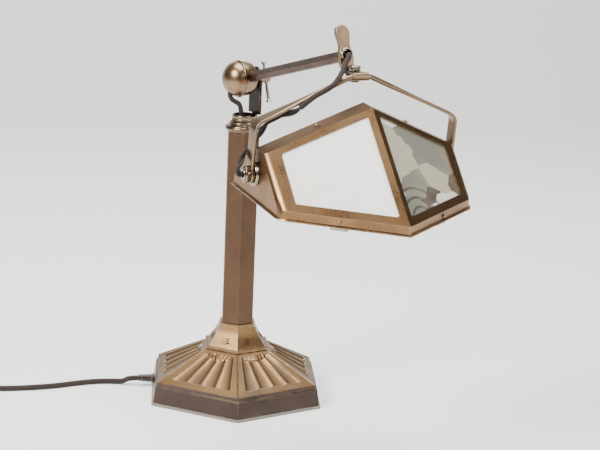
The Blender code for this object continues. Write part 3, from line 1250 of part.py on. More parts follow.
def yoke_lead_points():
    """Route of the shade's lead in the yoke's frame: out of the head, down the left slope,
    in behind the shoulder, round the leg and into the hollow pivot."""
    mouth = head_mouth_in_yoke()
    end_x = -(YOKE_HALF_SPAN + YOKE_LEG_THICK / 2 * YOKE_SWELL + GAP + PIVOT_NUT_THICK + 0.0006 + GAP)
    near = [(-0.0065, 0.0185, 0.0100), (-0.0108, 0.0135, 0.0065), (-0.0145, 0.0085, 0.0036),
            (-0.0180, 0.0040, 0.0024), (-0.0212, 0.0, 0.0010)]
    far = [(-0.0253, -0.0039, -0.0014), (-0.0300, -0.0068, -0.0048), (-0.0375, -0.0078, -0.0092),
           (-0.0480, -0.0076, -0.0148), (-0.0570, -0.0074, -0.0216), (-0.0640, -0.0048, -0.0286),
           (-0.0730, -0.0005, -0.0336), (-0.0810, 0.0035, -0.0374), (-0.0870, 0.0065, -0.0435),
           (-0.0909, 0.0092, -0.0527), (-0.0942, 0.0108, -0.0600), (-0.0988, 0.0112, -0.0655),
           (-0.1045, 0.0101, -0.0695), (-0.1088, 0.0062, -0.0756), (-0.1120, 0.0026, -0.0800),
           (-0.1142, 0.0006, -0.0842), (-0.1134, 0.0, -YOKE_DROP + 0.0010)]
    stretch = YOKE_HALF_SPAN / LEAD_SPAN
    route = [mouth[0], mouth[1]] + [Vector(point) for point in near]
    route += [Vector((x * stretch, y, z)) for x, y, z in far]
    return route + [Vector((end_x, 0.0, -YOKE_DROP))]


def head_mouth_in_yoke():
    """The lead's first two points, at the hole of the arm's head, in the yoke's frame."""
    arm, yoke = FRAMES["arm"], FRAMES["yoke"]
    front = -ARM_REACH - HEAD_THICK
    points = [Vector((ARM_SIDE, front - GAP, 0.0)), Vector((ARM_SIDE - 0.0012, front - 0.0052, -0.0006))]
    return [yoke.inverted() @ arm @ point for point in points]


def make_plug(mats):
    """Two-pin plug lying beside the coil, and the tie round the coil."""
    reach = COIL_MEAN_RADIUS + COIL_HALF_WIDTH + LEAD_RADIUS + GAP
    place_at = COIL_CENTRE + Vector((-0.0075, reach + 0.0090, PLUG_RADIUS))
    side_way = reach * math.sqrt(0.5)
    leave = COIL_CENTRE + Vector((-side_way, side_way, TABLE_Z))
    turn = leave + Vector((0.0080, 0.0082, 0.0012))
    near = place_at - Vector((0.0040, 0.0, 0.0))
    cord("plug_lead", [leave, turn, near, place_at - Vector((2 * GAP, 0, 0))], LEAD_RADIUS, mats["textile"], 12)
    inside = COIL_MEAN_RADIUS - COIL_HALF_WIDTH - GAP
    outside = COIL_MEAN_RADIUS + COIL_HALF_WIDTH + GAP
    top = COIL_LIFT + COIL_HEIGHT + GAP
    thick = TIE_THICK
    band = bmesh.new()
    rings = []
    for y in (-TIE_WIDTH / 2, TIE_WIDTH / 2):
        rings.append([Vector((x, y, z)) for x, z in ((inside, thick), (outside, thick), (outside, top), (inside, top))])
        rings.append([Vector((x, y, z)) for x, z in ((inside - thick, 0.0), (outside + thick, 0.0),
                                                     (outside + thick, top + thick), (inside - thick, top + thick))])
    skin_rings(band, [rings[0], rings[1], rings[3], rings[2]], True)
    solid("coil_tie", shifted(band, COIL_CENTRE), mats["textile"])
    body = turned([(0, 0), (0.0052, 0), (0.0056, 0.0090), (PLUG_RADIUS - 0.0010, 0.0150),
                   (PLUG_RADIUS, 0.0170), (PLUG_RADIUS, PLUG_LENGTH - 0.0010),
                   (PLUG_RADIUS - 0.0010, PLUG_LENGTH), (0, PLUG_LENGTH)], 20)
    plug = solid("mains_plug", aimed(body, place_at, (1, 0, 0)), mats["bakelite"])
    for index, side in enumerate((-1, 1)):
        foot = place_at + Vector((PLUG_LENGTH + GAP, side * (PLUG_RADIUS - PIN_RADIUS - 0.0012), 0))
        pin = turned([(0, 0), (PIN_RADIUS, 0), (PIN_RADIUS, PIN_LENGTH - 0.0014),
                      (PIN_RADIUS * 0.5, PIN_LENGTH), (0, PIN_LENGTH)], 12)
        solid("plug_pin_%d" % (index + 1), aimed(pin, foot, (1, 0, 0)), mats["nickel"])
    return plug


# ------------------------------------------------------------------ frames
def joint_matrices():
    """World matrices of the joint axes at rest."""
    stem = Matrix.Rotation(STEM_TURN, 4, "Z")
    ball = stem @ Matrix.Translation((0, 0, BALL_HEIGHT))
    arm = ball @ Matrix.Rotation(-ARM_PITCH, 4, "X")
    tommy = ball @ Matrix.Translation((TOMMY_PLACE, 0, 0)) @ Matrix.Rotation(-TOMMY_TURN, 4, "X")
    screw_at = arm @ swivel_point_in_arm()
    clamp = Matrix.Translation(screw_at) @ Matrix.Rotation(SHADE_TURN, 4, "Z")
    rod_at = clamp @ Matrix.Translation((0, -ROD_REACH, 0))
    yoke = rod_at @ Matrix.Rotation(YOKE_LEAN, 4, "X")
    pivot = (yoke @ Vector((0, 0, -YOKE_DROP)))
    shade = Matrix.Translation(pivot) @ Matrix.Rotation(SHADE_TURN, 4, "Z") @ Matrix.Rotation(SHADE_TILT, 4, "X")
    return {"stem": stem, "ball": ball, "tommy": tommy, "arm": arm, "clamp": clamp, "yoke": yoke, "shade": shade}


clear_scene()
FRAMES = joint_matrices()
MATERIALS = make_materials()
AXES = {name: axis_frame(name + "_axis", matrix) for name, matrix in FRAMES.items()}
make_foot(MATERIALS)
make_column(MATERIALS)
make_stem(MATERIALS, AXES["stem"], AXES["ball"])
make_tommy_bar(MATERIALS, AXES["tommy"])
make_ball(MATERIALS, AXES["arm"])
make_arm(MATERIALS, AXES["arm"])
make_clamp(MATERIALS, AXES["clamp"], AXES["clamp"])
make_yoke(MATERIALS, AXES["yoke"])
make_shade(MATERIALS, AXES["shade"])
make_leads(MATERIALS, AXES["stem"], AXES["yoke"])
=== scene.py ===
"""An articulated desk lamp: fluted hexagonal foot, bronze column, ball clamp, arm and
a two-window shade hung in a bow-shaped yoke, with its leads.

Every piece is built in metres in the lamp's own frame; all but the bent cords ride on one of its bodies.
"""

import logging
import math
from collections.abc import Iterable, Sequence
from dataclasses import dataclass, field
from enum import Enum

import bmesh
import bpy
from mathutils import Matrix, Vector


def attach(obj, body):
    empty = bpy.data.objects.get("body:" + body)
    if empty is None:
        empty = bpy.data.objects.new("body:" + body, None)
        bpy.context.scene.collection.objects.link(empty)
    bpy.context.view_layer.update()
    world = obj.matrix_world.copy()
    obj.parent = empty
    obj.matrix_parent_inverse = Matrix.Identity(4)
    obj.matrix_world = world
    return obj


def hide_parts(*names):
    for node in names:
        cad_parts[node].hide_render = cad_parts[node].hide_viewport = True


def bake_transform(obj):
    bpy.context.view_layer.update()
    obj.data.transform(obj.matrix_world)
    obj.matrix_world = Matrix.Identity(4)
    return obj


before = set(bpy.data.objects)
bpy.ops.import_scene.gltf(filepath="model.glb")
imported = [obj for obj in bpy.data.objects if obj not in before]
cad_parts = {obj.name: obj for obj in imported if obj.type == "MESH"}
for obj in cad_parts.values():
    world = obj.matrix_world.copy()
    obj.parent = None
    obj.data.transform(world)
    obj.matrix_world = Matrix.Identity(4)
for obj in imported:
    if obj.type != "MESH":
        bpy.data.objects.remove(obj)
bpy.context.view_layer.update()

LOG = logging.getLogger("desk_lamp")
HEX = 6
GAP = 0.0003
UPRIGHT = Matrix.Identity(4)
Profile = list[tuple[float, float]]
Socket = bpy.types.NodeSocket
Rgb = tuple[float, float, float]


class Body(Enum):
    """The lamp's moving bodies."""

    FOOT = "foot"
    STEM = "stem"
    KNOB = "clamp_knob"
    TOMMY = "tommy"
    ARM = "arm"
    HEAD_CLAMP = "head_clamp"
    THUMB = "thumb"
    YOKE = "yoke"
    SHADE = "shade"


# ---------------------------------------------------------------- places of the joints
@dataclass(frozen=True)
class Stance:
    """How the lamp stands: the turns and offsets of its joints at rest."""

    stem_turn: float = math.radians(25.7)
    ball_height: float = 0.3364
    arm_pitch: float = math.radians(15.0)
    arm_side: float = -0.0005
    arm_reach: float = 0.2034
    swivel_reach: float = 0.0170
    swivel_drop: float = 0.0148
    swivel_side: float = 0.0003
    shade_turn: float = math.radians(20.8)
    rod_reach: float = 0.0130
    yoke_lean: float = math.radians(6.9)
    yoke_drop: float = 0.0888
    shade_tilt: float = math.radians(5.3)
    tommy_place: float = 0.0232
    tommy_turn: float = math.radians(20.0)

    def stem(self) -> Matrix:
        """Frame of the stem: X along the ball's axis, origin on the table."""
        return Matrix.Rotation(self.stem_turn, 4, "Z")

    def ball(self) -> Matrix:
        """Frame of the ball clamp's axis, level."""
        return self.stem() @ Matrix.Translation((0, 0, self.ball_height))

    def tommy(self) -> Matrix:
        """Frame of the loose bar, Z along it."""
        place = Matrix.Translation((self.tommy_place, 0, 0))
        return self.ball() @ place @ Matrix.Rotation(-self.tommy_turn, 4, "X")

    def arm(self) -> Matrix:
        """Frame of the arm, which points along -Y."""
        return self.ball() @ Matrix.Rotation(-self.arm_pitch, 4, "X")

    def swivel_in_arm(self) -> Vector:
        """The swivel screw's centre in the arm's frame.

        Returns:
            The centre.
        """
        pitch = self.arm_pitch
        along = self.swivel_reach * math.cos(pitch) - self.swivel_drop * math.sin(pitch)
        down = self.swivel_reach * math.sin(pitch) + self.swivel_drop * math.cos(pitch)
        return Vector((self.arm_side + self.swivel_side, -self.arm_reach - along, -down))

    def clamp(self) -> Matrix:
        """Frame of the yoke's clamp, Z up the swivel screw."""
        place = Matrix.Translation(self.arm() @ self.swivel_in_arm())
        return place @ Matrix.Rotation(self.shade_turn, 4, "Z")

    def yoke(self) -> Matrix:
        """Frame of the yoke, X along the rod in the clamp."""
        rod = Matrix.Translation((0, -self.rod_reach, 0))
        return self.clamp() @ rod @ Matrix.Rotation(self.yoke_lean, 4, "X")

    def shade(self) -> Matrix:
        """Frame of the shade, X along its pivots.

        Returns:
            The frame.
        """
        pivot = Matrix.Translation(self.yoke() @ Vector((0, 0, -self.yoke_drop)))
        turn = Matrix.Rotation(self.shade_turn, 4, "Z")
        return pivot @ turn @ Matrix.Rotation(self.shade_tilt, 4, "X")


# ---------------------------------------------------------------- camera and studio
@dataclass(frozen=True)
class Viewpoint:
    """Where the camera stands and how it looks."""

    place: tuple[float, float, float] = (-0.0772, -1.9097, 0.6456)
    turn: float = 4.172
    dip: float = 13.562
    roll: float = 2.443
    lens: float = 113.3
    sensor: float = 36.0

    def build(self) -> bpy.types.Object:
        """Make the camera and give it to the scene.

        Returns:
            The camera object.
        """
        yaw, pitch, roll = (math.radians(a) for a in (self.turn, self.dip, self.roll))
        ahead = Vector((math.sin(yaw) * math.cos(pitch), math.cos(yaw) * math.cos(pitch), -math.sin(pitch)))
        level = Vector((math.cos(yaw), -math.sin(yaw), 0.0))
        above = level.cross(ahead)
        right = level * math.cos(roll) + above * math.sin(roll)
        up = above * math.cos(roll) - level * math.sin(roll)
        data = bpy.data.cameras.new("view_camera")
        data.lens = self.lens
        data.sensor_width = self.sensor
        data.clip_start = 0.05
        data.clip_end = 20.0
        camera = bpy.data.objects.new("view_camera", data)
        bpy.context.collection.objects.link(camera)
        basis = Matrix((right, up, -ahead)).transposed().to_4x4()
        camera.matrix_world = Matrix.Translation(self.place) @ basis
        bpy.context.scene.camera = camera
        return camera


# ---------------------------------------------------------------- finishes
class Graph:
    """A short way to write a material's node tree."""

    def __init__(self, name: str) -> None:
        """Start a material.

        Args:
            name: The material's name.
        """
        self.material = bpy.data.materials.new(name)
        self.material.use_nodes = True
        self.tree = self.material.node_tree
        self.shader = self.tree.nodes["Principled BSDF"]

    def node(self, kind: str, values: dict | None = None, **settings: object) -> bpy.types.Node:
        """Add a node, set its properties, then set or link its inputs.

        Args:
            kind: The node's type.
            values: Values or sockets for its inputs.
            settings: Its properties.

        Returns:
            The node.
        """
        item = self.tree.nodes.new(kind)
        for key, value in settings.items():
            setattr(item, key, value)
        for key, value in (values or {}).items():
            self.feed(item.inputs[key], value)
        return item

    def feed(self, socket: Socket, value: object) -> None:
        """Link a socket to another one, or set its value.

        Args:
            socket: The input.
            value: A socket, a number or a colour.
        """
        if isinstance(value, bpy.types.NodeSocket):
            self.tree.links.new(value, socket)
        elif isinstance(value, tuple) and socket.type == "RGBA":
            socket.default_value = (*value, 1.0)
        else:
            socket.default_value = value

    def place(self) -> Socket:
        """The lamp's own coordinates."""
        return self.node("ShaderNodeTexCoord").outputs["Object"]

    def uv(self) -> tuple[Socket, Socket]:
        """Across and along coordinates of a strip or pane."""
        split = self.node("ShaderNodeSeparateXYZ", {0: self.node("ShaderNodeTexCoord").outputs["UV"]})
        return split.outputs[0], split.outputs[1]

    def noise(self, scale: float, detail: float = 4.0, stretch: tuple | None = None) -> Socket:
        """Cloudy variation, 0 to 1.

        Args:
            scale: How fine it is.
            detail: How many layers it has.
            stretch: Scale along each axis, which draws it out where it is small.

        Returns:
            The variation.
        """
        place = self.place()
        if stretch:
            place = self.node("ShaderNodeMapping", {"Vector": place, "Scale": stretch}).outputs[0]
        return self.node("ShaderNodeTexNoise", {"Vector": place, "Scale": scale, "Detail": detail}).outputs[0]

    def calc(self, kind: str, a: object, b: object = 0.0, clamp: bool = False) -> Socket:
        """A Math node."""
        return self.node("ShaderNodeMath", {0: a, 1: b}, operation=kind, use_clamp=clamp).outputs[0]

    def span(self, value: Socket, low: float, high: float, to_low: float = 0.0,
             to_high: float = 1.0) -> Socket:
        """Stretch a range to another, clamped."""
        return self.node("ShaderNodeMapRange", {0: value, 1: low, 2: high, 3: to_low, 4: to_high}).outputs[0]

    def blend(self, share: object, first: object, second: object) -> Socket:
        """Mix two colours.

        Args:
            share: 0 for the first, 1 for the second.
            first: A colour.
            second: Another colour.

        Returns:
            The mixed colour.
        """
        item = self.node("ShaderNodeMix", data_type="RGBA")
        self.feed(item.inputs[0], share)
        self.feed(item.inputs[6], first)
        self.feed(item.inputs[7], second)
        return item.outputs[2]

    def edges(self, radius: float) -> Socket:
        """Find sharp edges.

        Args:
            radius: How far from an edge it reaches.

        Returns:
            1 on sharp edges, 0 on flat places.
        """
        soft = self.node("ShaderNodeBevel", {"Radius": radius}, samples=4).outputs[0]
        flat = self.node("ShaderNodeNewGeometry").outputs["Normal"]
        dot = self.node("ShaderNodeVectorMath", {0: soft, 1: flat}, operation="DOT_PRODUCT").outputs["Value"]
        return self.span(dot, 0.995, 0.93)

    def bump(self, height: Socket, distance: float, strength: float = 1.0) -> None:
        """Give the shader a bumpy surface."""
        item = self.node("ShaderNodeBump", {"Height": height, "Distance": distance, "Strength": strength})
        self.feed(self.shader.inputs["Normal"], item.outputs[0])

    def shade(self, **inputs: object) -> bpy.types.Material:
        """Set the shader's inputs.

        Args:
            inputs: Its inputs, with _ for each space.

        Returns:
            The material.
        """
        for key, value in inputs.items():
            self.feed(self.shader.inputs[key.replace("_", " ")], value)
        return self.material


@dataclass(frozen=True)
class AgedMetal:
    """Patinated metal: cloudy tones, darker stains, bright worn edges, fine brushing."""

    name: str
    slot: str
    tone: Rgb
    stain: Rgb
    worn: Rgb
    roughness: float = 0.36
    staining: float = 0.55
    wear: float = 0.7
    grain: tuple[float, float, float] = (1.0, 1.0, 0.06)
    edge: float = 0.0011

    def build(self) -> bpy.types.Material:
        """Make the material.

        Returns:
            The material.
        """
        g = Graph(self.name)
        clouds = g.noise(34.0, 6.0)
        broad = g.noise(11.0, 3.0)
        grain = g.noise(900.0, 2.0, self.grain)
        stains = g.calc("MULTIPLY", g.span(clouds, 0.38, 0.68), g.span(broad, 0.36, 0.62))
        colour = g.blend(g.calc("MULTIPLY", stains, self.staining), self.tone, self.stain)
        specks = g.span(g.noise(420.0, 3.0), 0.60, 0.74)
        colour = g.blend(g.calc("MULTIPLY", specks, 0.35), colour, self.stain)
        edge = g.calc("MULTIPLY", g.edges(self.edge), g.span(g.noise(120.0, 4.0), 0.34, 0.62))
        colour = g.blend(g.calc("MULTIPLY", edge, self.wear), colour, self.worn)
        rough = g.span(g.calc("ADD", g.calc("MULTIPLY", clouds, 0.6), g.calc("MULTIPLY", grain, 0.4)),
                       0.3, 0.7, self.roughness - 0.08, self.roughness + 0.12)
        rough = g.calc("SUBTRACT", rough, g.calc("MULTIPLY", edge, 0.1))
        height = g.calc("ADD", g.calc("MULTIPLY", grain, 0.25), g.calc("MULTIPLY", clouds, 0.75))
        g.bump(height, 0.00012, 0.35)
        return g.shade(Base_Color=colour, Metallic=1.0, Roughness=rough)


@dataclass(frozen=True)
class Felt:
    """Matted wool under the foot."""

    name: str = "matted_felt"
    slot: str = "felt"
    tone: Rgb = (0.26, 0.235, 0.20)

    def build(self) -> bpy.types.Material:
        """Make the material.

        Returns:
            The material.
        """
        g = Graph(self.name)
        fibres = g.noise(1400.0, 5.0, (1.0, 1.0, 0.4))
        dark = tuple(v * 0.55 for v in self.tone)
        g.bump(fibres, 0.0006, 0.9)
        return g.shade(Base_Color=g.blend(g.span(fibres, 0.3, 0.7), dark, self.tone), Roughness=0.95,
                       Sheen_Weight=0.4)


@dataclass(frozen=True)
class OpalGlass:
    """Milky pane with a faint warm cloud."""

    name: str = "opal_pane"
    slot: str = "opal"
    tone: Rgb = (0.94, 0.935, 0.92)

    def build(self) -> bpy.types.Material:
        """Make the material.

        Returns:
            The material.
        """
        g = Graph(self.name)
        cloud = g.noise(16.0, 4.0)
        warm = (self.tone[0] * 0.95, self.tone[1] * 0.93, self.tone[2] * 0.88)
        colour = g.blend(g.span(cloud, 0.35, 0.7), self.tone, warm)
        g.bump(g.noise(60.0, 2.0), 0.0004, 0.25)
        return g.shade(Base_Color=colour, Roughness=g.span(g.noise(300.0, 3.0), 0.3, 0.7, 0.2, 0.34),
                       Coat_Weight=0.35, Coat_Roughness=0.12, Subsurface_Weight=0.15, Subsurface_Scale=0.004)


@dataclass(frozen=True)
class EtchedGlass:
    """Pane with an etched design: flat facets in a few tones and a fan of rings."""

    name: str = "etched_pane"
    slot: str = "etched"
    cream: Rgb = (0.40, 0.36, 0.27)
    pale: Rgb = (0.66, 0.66, 0.60)
    green: Rgb = (0.17, 0.17, 0.135)
    dark: Rgb = (0.045, 0.033, 0.027)
    facets: float = 30.0
    ring: float = 0.0095

    def build(self) -> bpy.types.Material:
        """Make the material.

        Returns:
            The material.
        """
        g = Graph(self.name)
        across, up = g.uv()
        place = g.node("ShaderNodeCombineXYZ", {0: across, 1: g.calc("MULTIPLY", up, 1.3)}).outputs[0]
        cells = g.node("ShaderNodeTexVoronoi", {"Vector": place, "Scale": self.facets, "Randomness": 0.85},
                       voronoi_dimensions="2D", distance="MANHATTAN").outputs["Color"]
        split = g.node("ShaderNodeSeparateColor", {0: cells})
        pick = split.outputs[0]
        colour = g.blend(g.calc("GREATER_THAN", pick, 0.34), self.pale, self.cream)
        colour = g.blend(g.calc("GREATER_THAN", pick, 0.62), colour, self.green)
        facet = g.calc("GREATER_THAN", split.outputs[1], 0.74)
        colour = g.blend(facet, colour, self.dark)
        dx = g.calc("SUBTRACT", across, 0.030)
        dy = g.calc("ADD", up, 0.004)
        reach = g.calc("SQRT", g.calc("ADD", g.calc("MULTIPLY", dx, dx), g.calc("MULTIPLY", dy, dy)))
        rings = g.calc("GREATER_THAN", g.calc("FRACT", g.calc("DIVIDE", reach, self.ring)), 0.72)
        mark = g.calc("MULTIPLY", rings, g.calc("LESS_THAN", reach, 0.038))
        colour = g.blend(g.calc("MULTIPLY", mark, 0.7), colour, self.dark)
        depth = g.calc("ADD", g.calc("MULTIPLY", mark, -0.6), g.calc("MULTIPLY", pick, -0.8))
        grain = g.noise(1500.0, 3.0)
        g.bump(g.calc("ADD", depth, g.calc("MULTIPLY", grain, 0.2)), 0.0005, 0.8)
        rough = g.span(g.calc("ADD", mark, facet), 0.0, 1.0, 0.42, 0.2)
        colour = g.blend(g.span(g.noise(40.0, 4.0), 0.4, 0.75, 0.0, 0.3), colour, self.cream)
        return g.shade(Base_Color=colour, Roughness=rough, Coat_Weight=0.25, Coat_Roughness=0.2)


@dataclass(frozen=True)
class Braid:
    """Woven textile cover of a cord, by its across and along coordinates."""

    name: str = "braided_cover"
    slot: str = "textile"
    tone: Rgb = (0.022, 0.013, 0.011)
    # Colour of the raised threads, lighter than the hollows: painted highlight on the weave.
    light: Rgb = (0.062, 0.038, 0.030)
    strands: float = 6.0
    pitch: float = 0.0022

    def build(self) -> bpy.types.Material:
        """Make the material.

        Returns:
            The material.
        """
        g = Graph(self.name)
        across, along = g.uv()
        turn = g.calc("MULTIPLY", across, self.strands * 2.0 * math.pi)
        run = g.calc("MULTIPLY", along, 2.0 * math.pi / self.pitch)
        one = g.calc("SINE", g.calc("ADD", turn, run))
        two = g.calc("SINE", g.calc("SUBTRACT", turn, run))
        weave = g.calc("MULTIPLY", one, two)
        fuzz = g.noise(2600.0, 3.0)
        g.bump(g.calc("ADD", weave, g.calc("MULTIPLY", fuzz, 0.5)), 0.0004, 0.8)
        # Painted shade and highlight: the colour follows the weave's height, darker in the hollows between
        # threads and lighter on the raised ones, broken up by fuzz.
        share = g.calc("MULTIPLY", g.span(weave, -0.4, 0.8), g.span(fuzz, 0.25, 0.7))
        return g.shade(Base_Color=g.blend(share, self.tone, self.light), Roughness=0.92, Sheen_Weight=0.05)


@dataclass(frozen=True)
class Moulded:
    """Bakelite, ceramic or frosted glass: nearly even, with a soft cloud and handling marks."""

    name: str
    slot: str
    tone: Rgb
    roughness: float = 0.3

    def build(self) -> bpy.types.Material:
        """Make the material.

        Returns:
            The material.
        """
        g = Graph(self.name)
        swirl = g.noise(90.0, 5.0, (1.0, 0.4, 1.0))
        lighter = tuple(min(v * 1.35 + 0.004, 0.95) for v in self.tone)
        g.bump(g.noise(700.0, 2.0), 0.0002, 0.3)
        rough = g.span(g.noise(260.0, 4.0), 0.35, 0.7, self.roughness - 0.06, self.roughness + 0.14)
        return g.shade(Base_Color=g.blend(g.span(swirl, 0.4, 0.7), self.tone, lighter), Roughness=rough)


GOLD = (0.62, 0.44, 0.25)
SILVER = (0.62, 0.58, 0.52)
FINISHES = {
    "cast": AgedMetal("cast_bronze", "bronze", tone=(0.22, 0.130, 0.060), stain=(0.075, 0.056, 0.043),
                      worn=GOLD, roughness=0.36, staining=0.75, wear=0.9),
    # A darker copy of the cast bronze: painted shade on the foot's upright wall, which is the same cast shell
    # as the sloping panels that use the cast finish. The neck's strokes use it too.
    "wall": AgedMetal("wall_bronze_painted_shade", "bronze", tone=(0.082, 0.060, 0.050), stain=(0.035, 0.028, 0.025),
                      worn=GOLD, roughness=0.38, staining=0.5, wear=0.5),
    "column": AgedMetal("column_bronze", "bronze", tone=(0.105, 0.062, 0.039), stain=(0.060, 0.040, 0.029),
                        worn=GOLD, roughness=0.34, staining=0.5, wear=0.5, grain=(1.0, 1.0, 0.02)),
    "collar": AgedMetal("collar_bronze", "bronze", tone=(0.18, 0.125, 0.080), stain=(0.075, 0.050, 0.035),
                        worn=SILVER, roughness=0.25, staining=0.5, wear=0.6),
    "satin": AgedMetal("satin_bronze", "bronze", tone=(0.26, 0.178, 0.104), stain=(0.13, 0.086, 0.055),
                       worn=SILVER, roughness=0.30, staining=0.4, wear=0.4),
    "dark": AgedMetal("dark_bronze", "bronze", tone=(0.026, 0.018, 0.014), stain=(0.013, 0.010, 0.009),
                      worn=GOLD, roughness=0.36, staining=0.5, wear=0.5),
    "arm": AgedMetal("arm_bronze", "bronze", tone=(0.062, 0.033, 0.020), stain=(0.032, 0.019, 0.014),
                     worn=GOLD, roughness=0.30, staining=0.5, wear=0.6, grain=(0.4, 0.03, 0.4)),
    "shade": AgedMetal("shade_bronze", "bronze", tone=(0.25, 0.145, 0.068), stain=(0.125, 0.075, 0.042),
                       worn=GOLD, roughness=0.31, staining=0.55, wear=0.8),
    "yoke": AgedMetal("yoke_bronze", "bronze", tone=(0.24, 0.165, 0.094), stain=(0.105, 0.073, 0.050),
                      worn=SILVER, roughness=0.30, staining=0.55, wear=0.6),
    "paddle": AgedMetal("paddle_bronze", "bronze", tone=(0.25, 0.162, 0.086), stain=(0.105, 0.090, 0.078),
                        worn=SILVER, roughness=0.40, staining=0.9, wear=0.9),
    "nickel": AgedMetal("worn_nickel", "nickel", tone=(0.40, 0.35, 0.28), stain=(0.18, 0.14, 0.105),
                        worn=SILVER, roughness=0.22, staining=0.5, wear=0.5),
    "steel": AgedMetal("dull_steel", "steel", tone=(0.30, 0.29, 0.27), stain=(0.14, 0.125, 0.11),
                       worn=SILVER, roughness=0.30, staining=0.5, wear=0.5),
    "iron": AgedMetal("cast_iron", "iron", tone=(0.08, 0.08, 0.08), stain=(0.04, 0.035, 0.03),
                      worn=(0.2, 0.2, 0.2), roughness=0.65, staining=0.5, wear=0.3),
    "felt": Felt(),
    "opal": OpalGlass(),
    "etched": EtchedGlass(),
    "textile": Braid(),
    "bakelite": Moulded("dark_bakelite", "bakelite", (0.030, 0.019, 0.014), 0.3),
    "ceramic": Moulded("white_ceramic", "ceramic", (0.72, 0.70, 0.65), 0.28),
    "bulb": Moulded("frosted_bulb", "bulb", (0.80, 0.80, 0.77), 0.34),
}
BUILT: dict[str, bpy.types.Material] = {}


def finish(name: str) -> bpy.types.Material:
    """The material of a named finish, made once.

    Args:
        name: A key of FINISHES.

    Returns:
        The material.
    """
    if name not in BUILT:
        BUILT[name] = FINISHES[name].build()
    return BUILT[name]


# ---------------------------------------------------------------- mesh helpers
def skin_rings(bm: bmesh.types.BMesh, rings: Sequence[Sequence[Vector]], closed: bool) -> None:
    """Bridge rings of points into a skin.

    Args:
        bm: The mesh that gets the skin.
        rings: Rings with the same number of points each.
        closed: Whether the last ring meets the first; if not, both ends are filled.
    """
    loops = [[bm.verts.new(point) for point in ring] for ring in rings]
    pairs = list(zip(loops, loops[1:])) + ([(loops[-1], loops[0])] if closed else [])
    for low, high in pairs:
        for i in range(len(low)):
            j = (i + 1) % len(low)
            bm.faces.new((low[i], low[j], high[j], high[i]))
    if not closed:
        bm.faces.new(list(reversed(loops[0])))
        bm.faces.new(loops[-1])


def ring_points(radius: float, sides: int, z: float = 0.0, start: float = -math.pi / 2) -> list[Vector]:
    """Corners of a regular polygon."""
    turns = [start + 2 * math.pi * i / sides for i in range(sides)]
    return [Vector((radius * math.cos(a), radius * math.sin(a), z)) for a in turns]


def lathe(profile: Profile, sides: int = 64, start: float = -math.pi / 2) -> bmesh.types.BMesh:
    """Revolve a profile about Z; one that stays off the axis closes on itself.

    Args:
        profile: Pairs of radius and z.
        sides: How many sides the turned shape has.
        start: Angle of the first corner.

    Returns:
        The turned shape.
    """
    bm = bmesh.new()
    closed = all(r > 0 for r, _ in profile)
    skin_rings(bm, [ring_points(max(r, 2e-4), sides, z, start) for r, z in profile], closed)
    return bm


def arc(r: float, z: float, radius: float, start: float, stop: float, steps: int = 8) -> Profile:
    """Points of an arc in a profile.

    Args:
        r: Radius of the arc's centre.
        z: Height of the arc's centre.
        radius: The arc's own radius.
        start: First angle in degrees.
        stop: Last angle in degrees.
        steps: How many spans it has.

    Returns:
        Pairs of radius and z.
    """
    turns = [math.radians(start + (stop - start) * i / steps) for i in range(steps + 1)]
    return [(r + radius * math.cos(a), z + radius * math.sin(a)) for a in turns]


def prism(outline: Profile, low: float, high: float, axis: str = "Z") -> bmesh.types.BMesh:
    """Extrude a flat outline along an axis.

    Args:
        outline: The outline's corners.
        low: Where the extrusion starts.
        high: Where it ends.
        axis: The axis that it runs along.

    Returns:
        The extruded shape.
    """
    bm = bmesh.new()
    orders = {
        "Z": lambda a, b, h: (a, b, h),
        "Y": lambda a, b, h: (a, h, b),
        "X": lambda a, b, h: (h, a, b),
    }
    skin_rings(bm, [[Vector(orders[axis](a, b, h)) for a, b in outline] for h in (low, high)], False)
    return bm


def moved(bm: bmesh.types.BMesh, matrix: Matrix) -> bmesh.types.BMesh:
    """Transform a whole bmesh."""
    bmesh.ops.transform(bm, matrix=matrix, verts=bm.verts)
    return bm


ABOUT_X = Matrix.Rotation(math.pi / 2, 4, "Y")


def turned(profile: Profile, sides: int = 64) -> bmesh.types.BMesh:
    """Revolve (radius, x) pairs about X."""
    return moved(lathe(profile, sides), ABOUT_X)


def aimed(point: Sequence[float], direction: Sequence[float]) -> Matrix:
    """A frame at a point with Z along a direction."""
    return Matrix.Translation(point) @ Vector(direction).to_track_quat("Z", "Y").to_matrix().to_4x4()


def corner_arc(corner: Vector, before: Vector, after: Vector, radius: float, steps: int) -> list[Vector]:
    """Points of the arc that rounds a corner.

    Args:
        corner: The sharp corner.
        before: A point on the side that comes in.
        after: A point on the side that goes out.
        radius: The arc's radius.
        steps: How many spans it has.

    Returns:
        The arc's points, in order.
    """
    a = (before - corner).normalized()
    b = (after - corner).normalized()
    half = a.angle(b) / 2
    centre = corner + (a + b).normalized() * (radius / math.sin(half))
    first = (corner + a * (radius / math.tan(half)) - centre).normalized()
    last = (corner + b * (radius / math.tan(half)) - centre).normalized()
    return [centre + first.slerp(last, i / steps) * radius for i in range(steps + 1)]


def smooth_route(points: Sequence[Vector], step: float) -> list[Vector]:
    """Evenly spaced points of a smooth curve through given ones.

    Args:
        points: The chosen points.
        step: The distance between the new points, nearly.

    Returns:
        The curve's points.
    """
    padded = [points[0] * 2 - points[1], *points, points[-1] * 2 - points[-2]]
    fine: list[Vector] = []
    for i in range(1, len(padded) - 2):
        p0, p1, p2, p3 = padded[i - 1:i + 3]
        for k in range(16):
            t = k / 16
            fine.append(0.5 * (2 * p1 + (p2 - p0) * t + (2 * p0 - 5 * p1 + 4 * p2 - p3) * t ** 2
                               + (3 * p1 - 3 * p2 + p3 - p0) * t ** 3))
    fine.append(points[-1].copy())
    return even(fine, step)


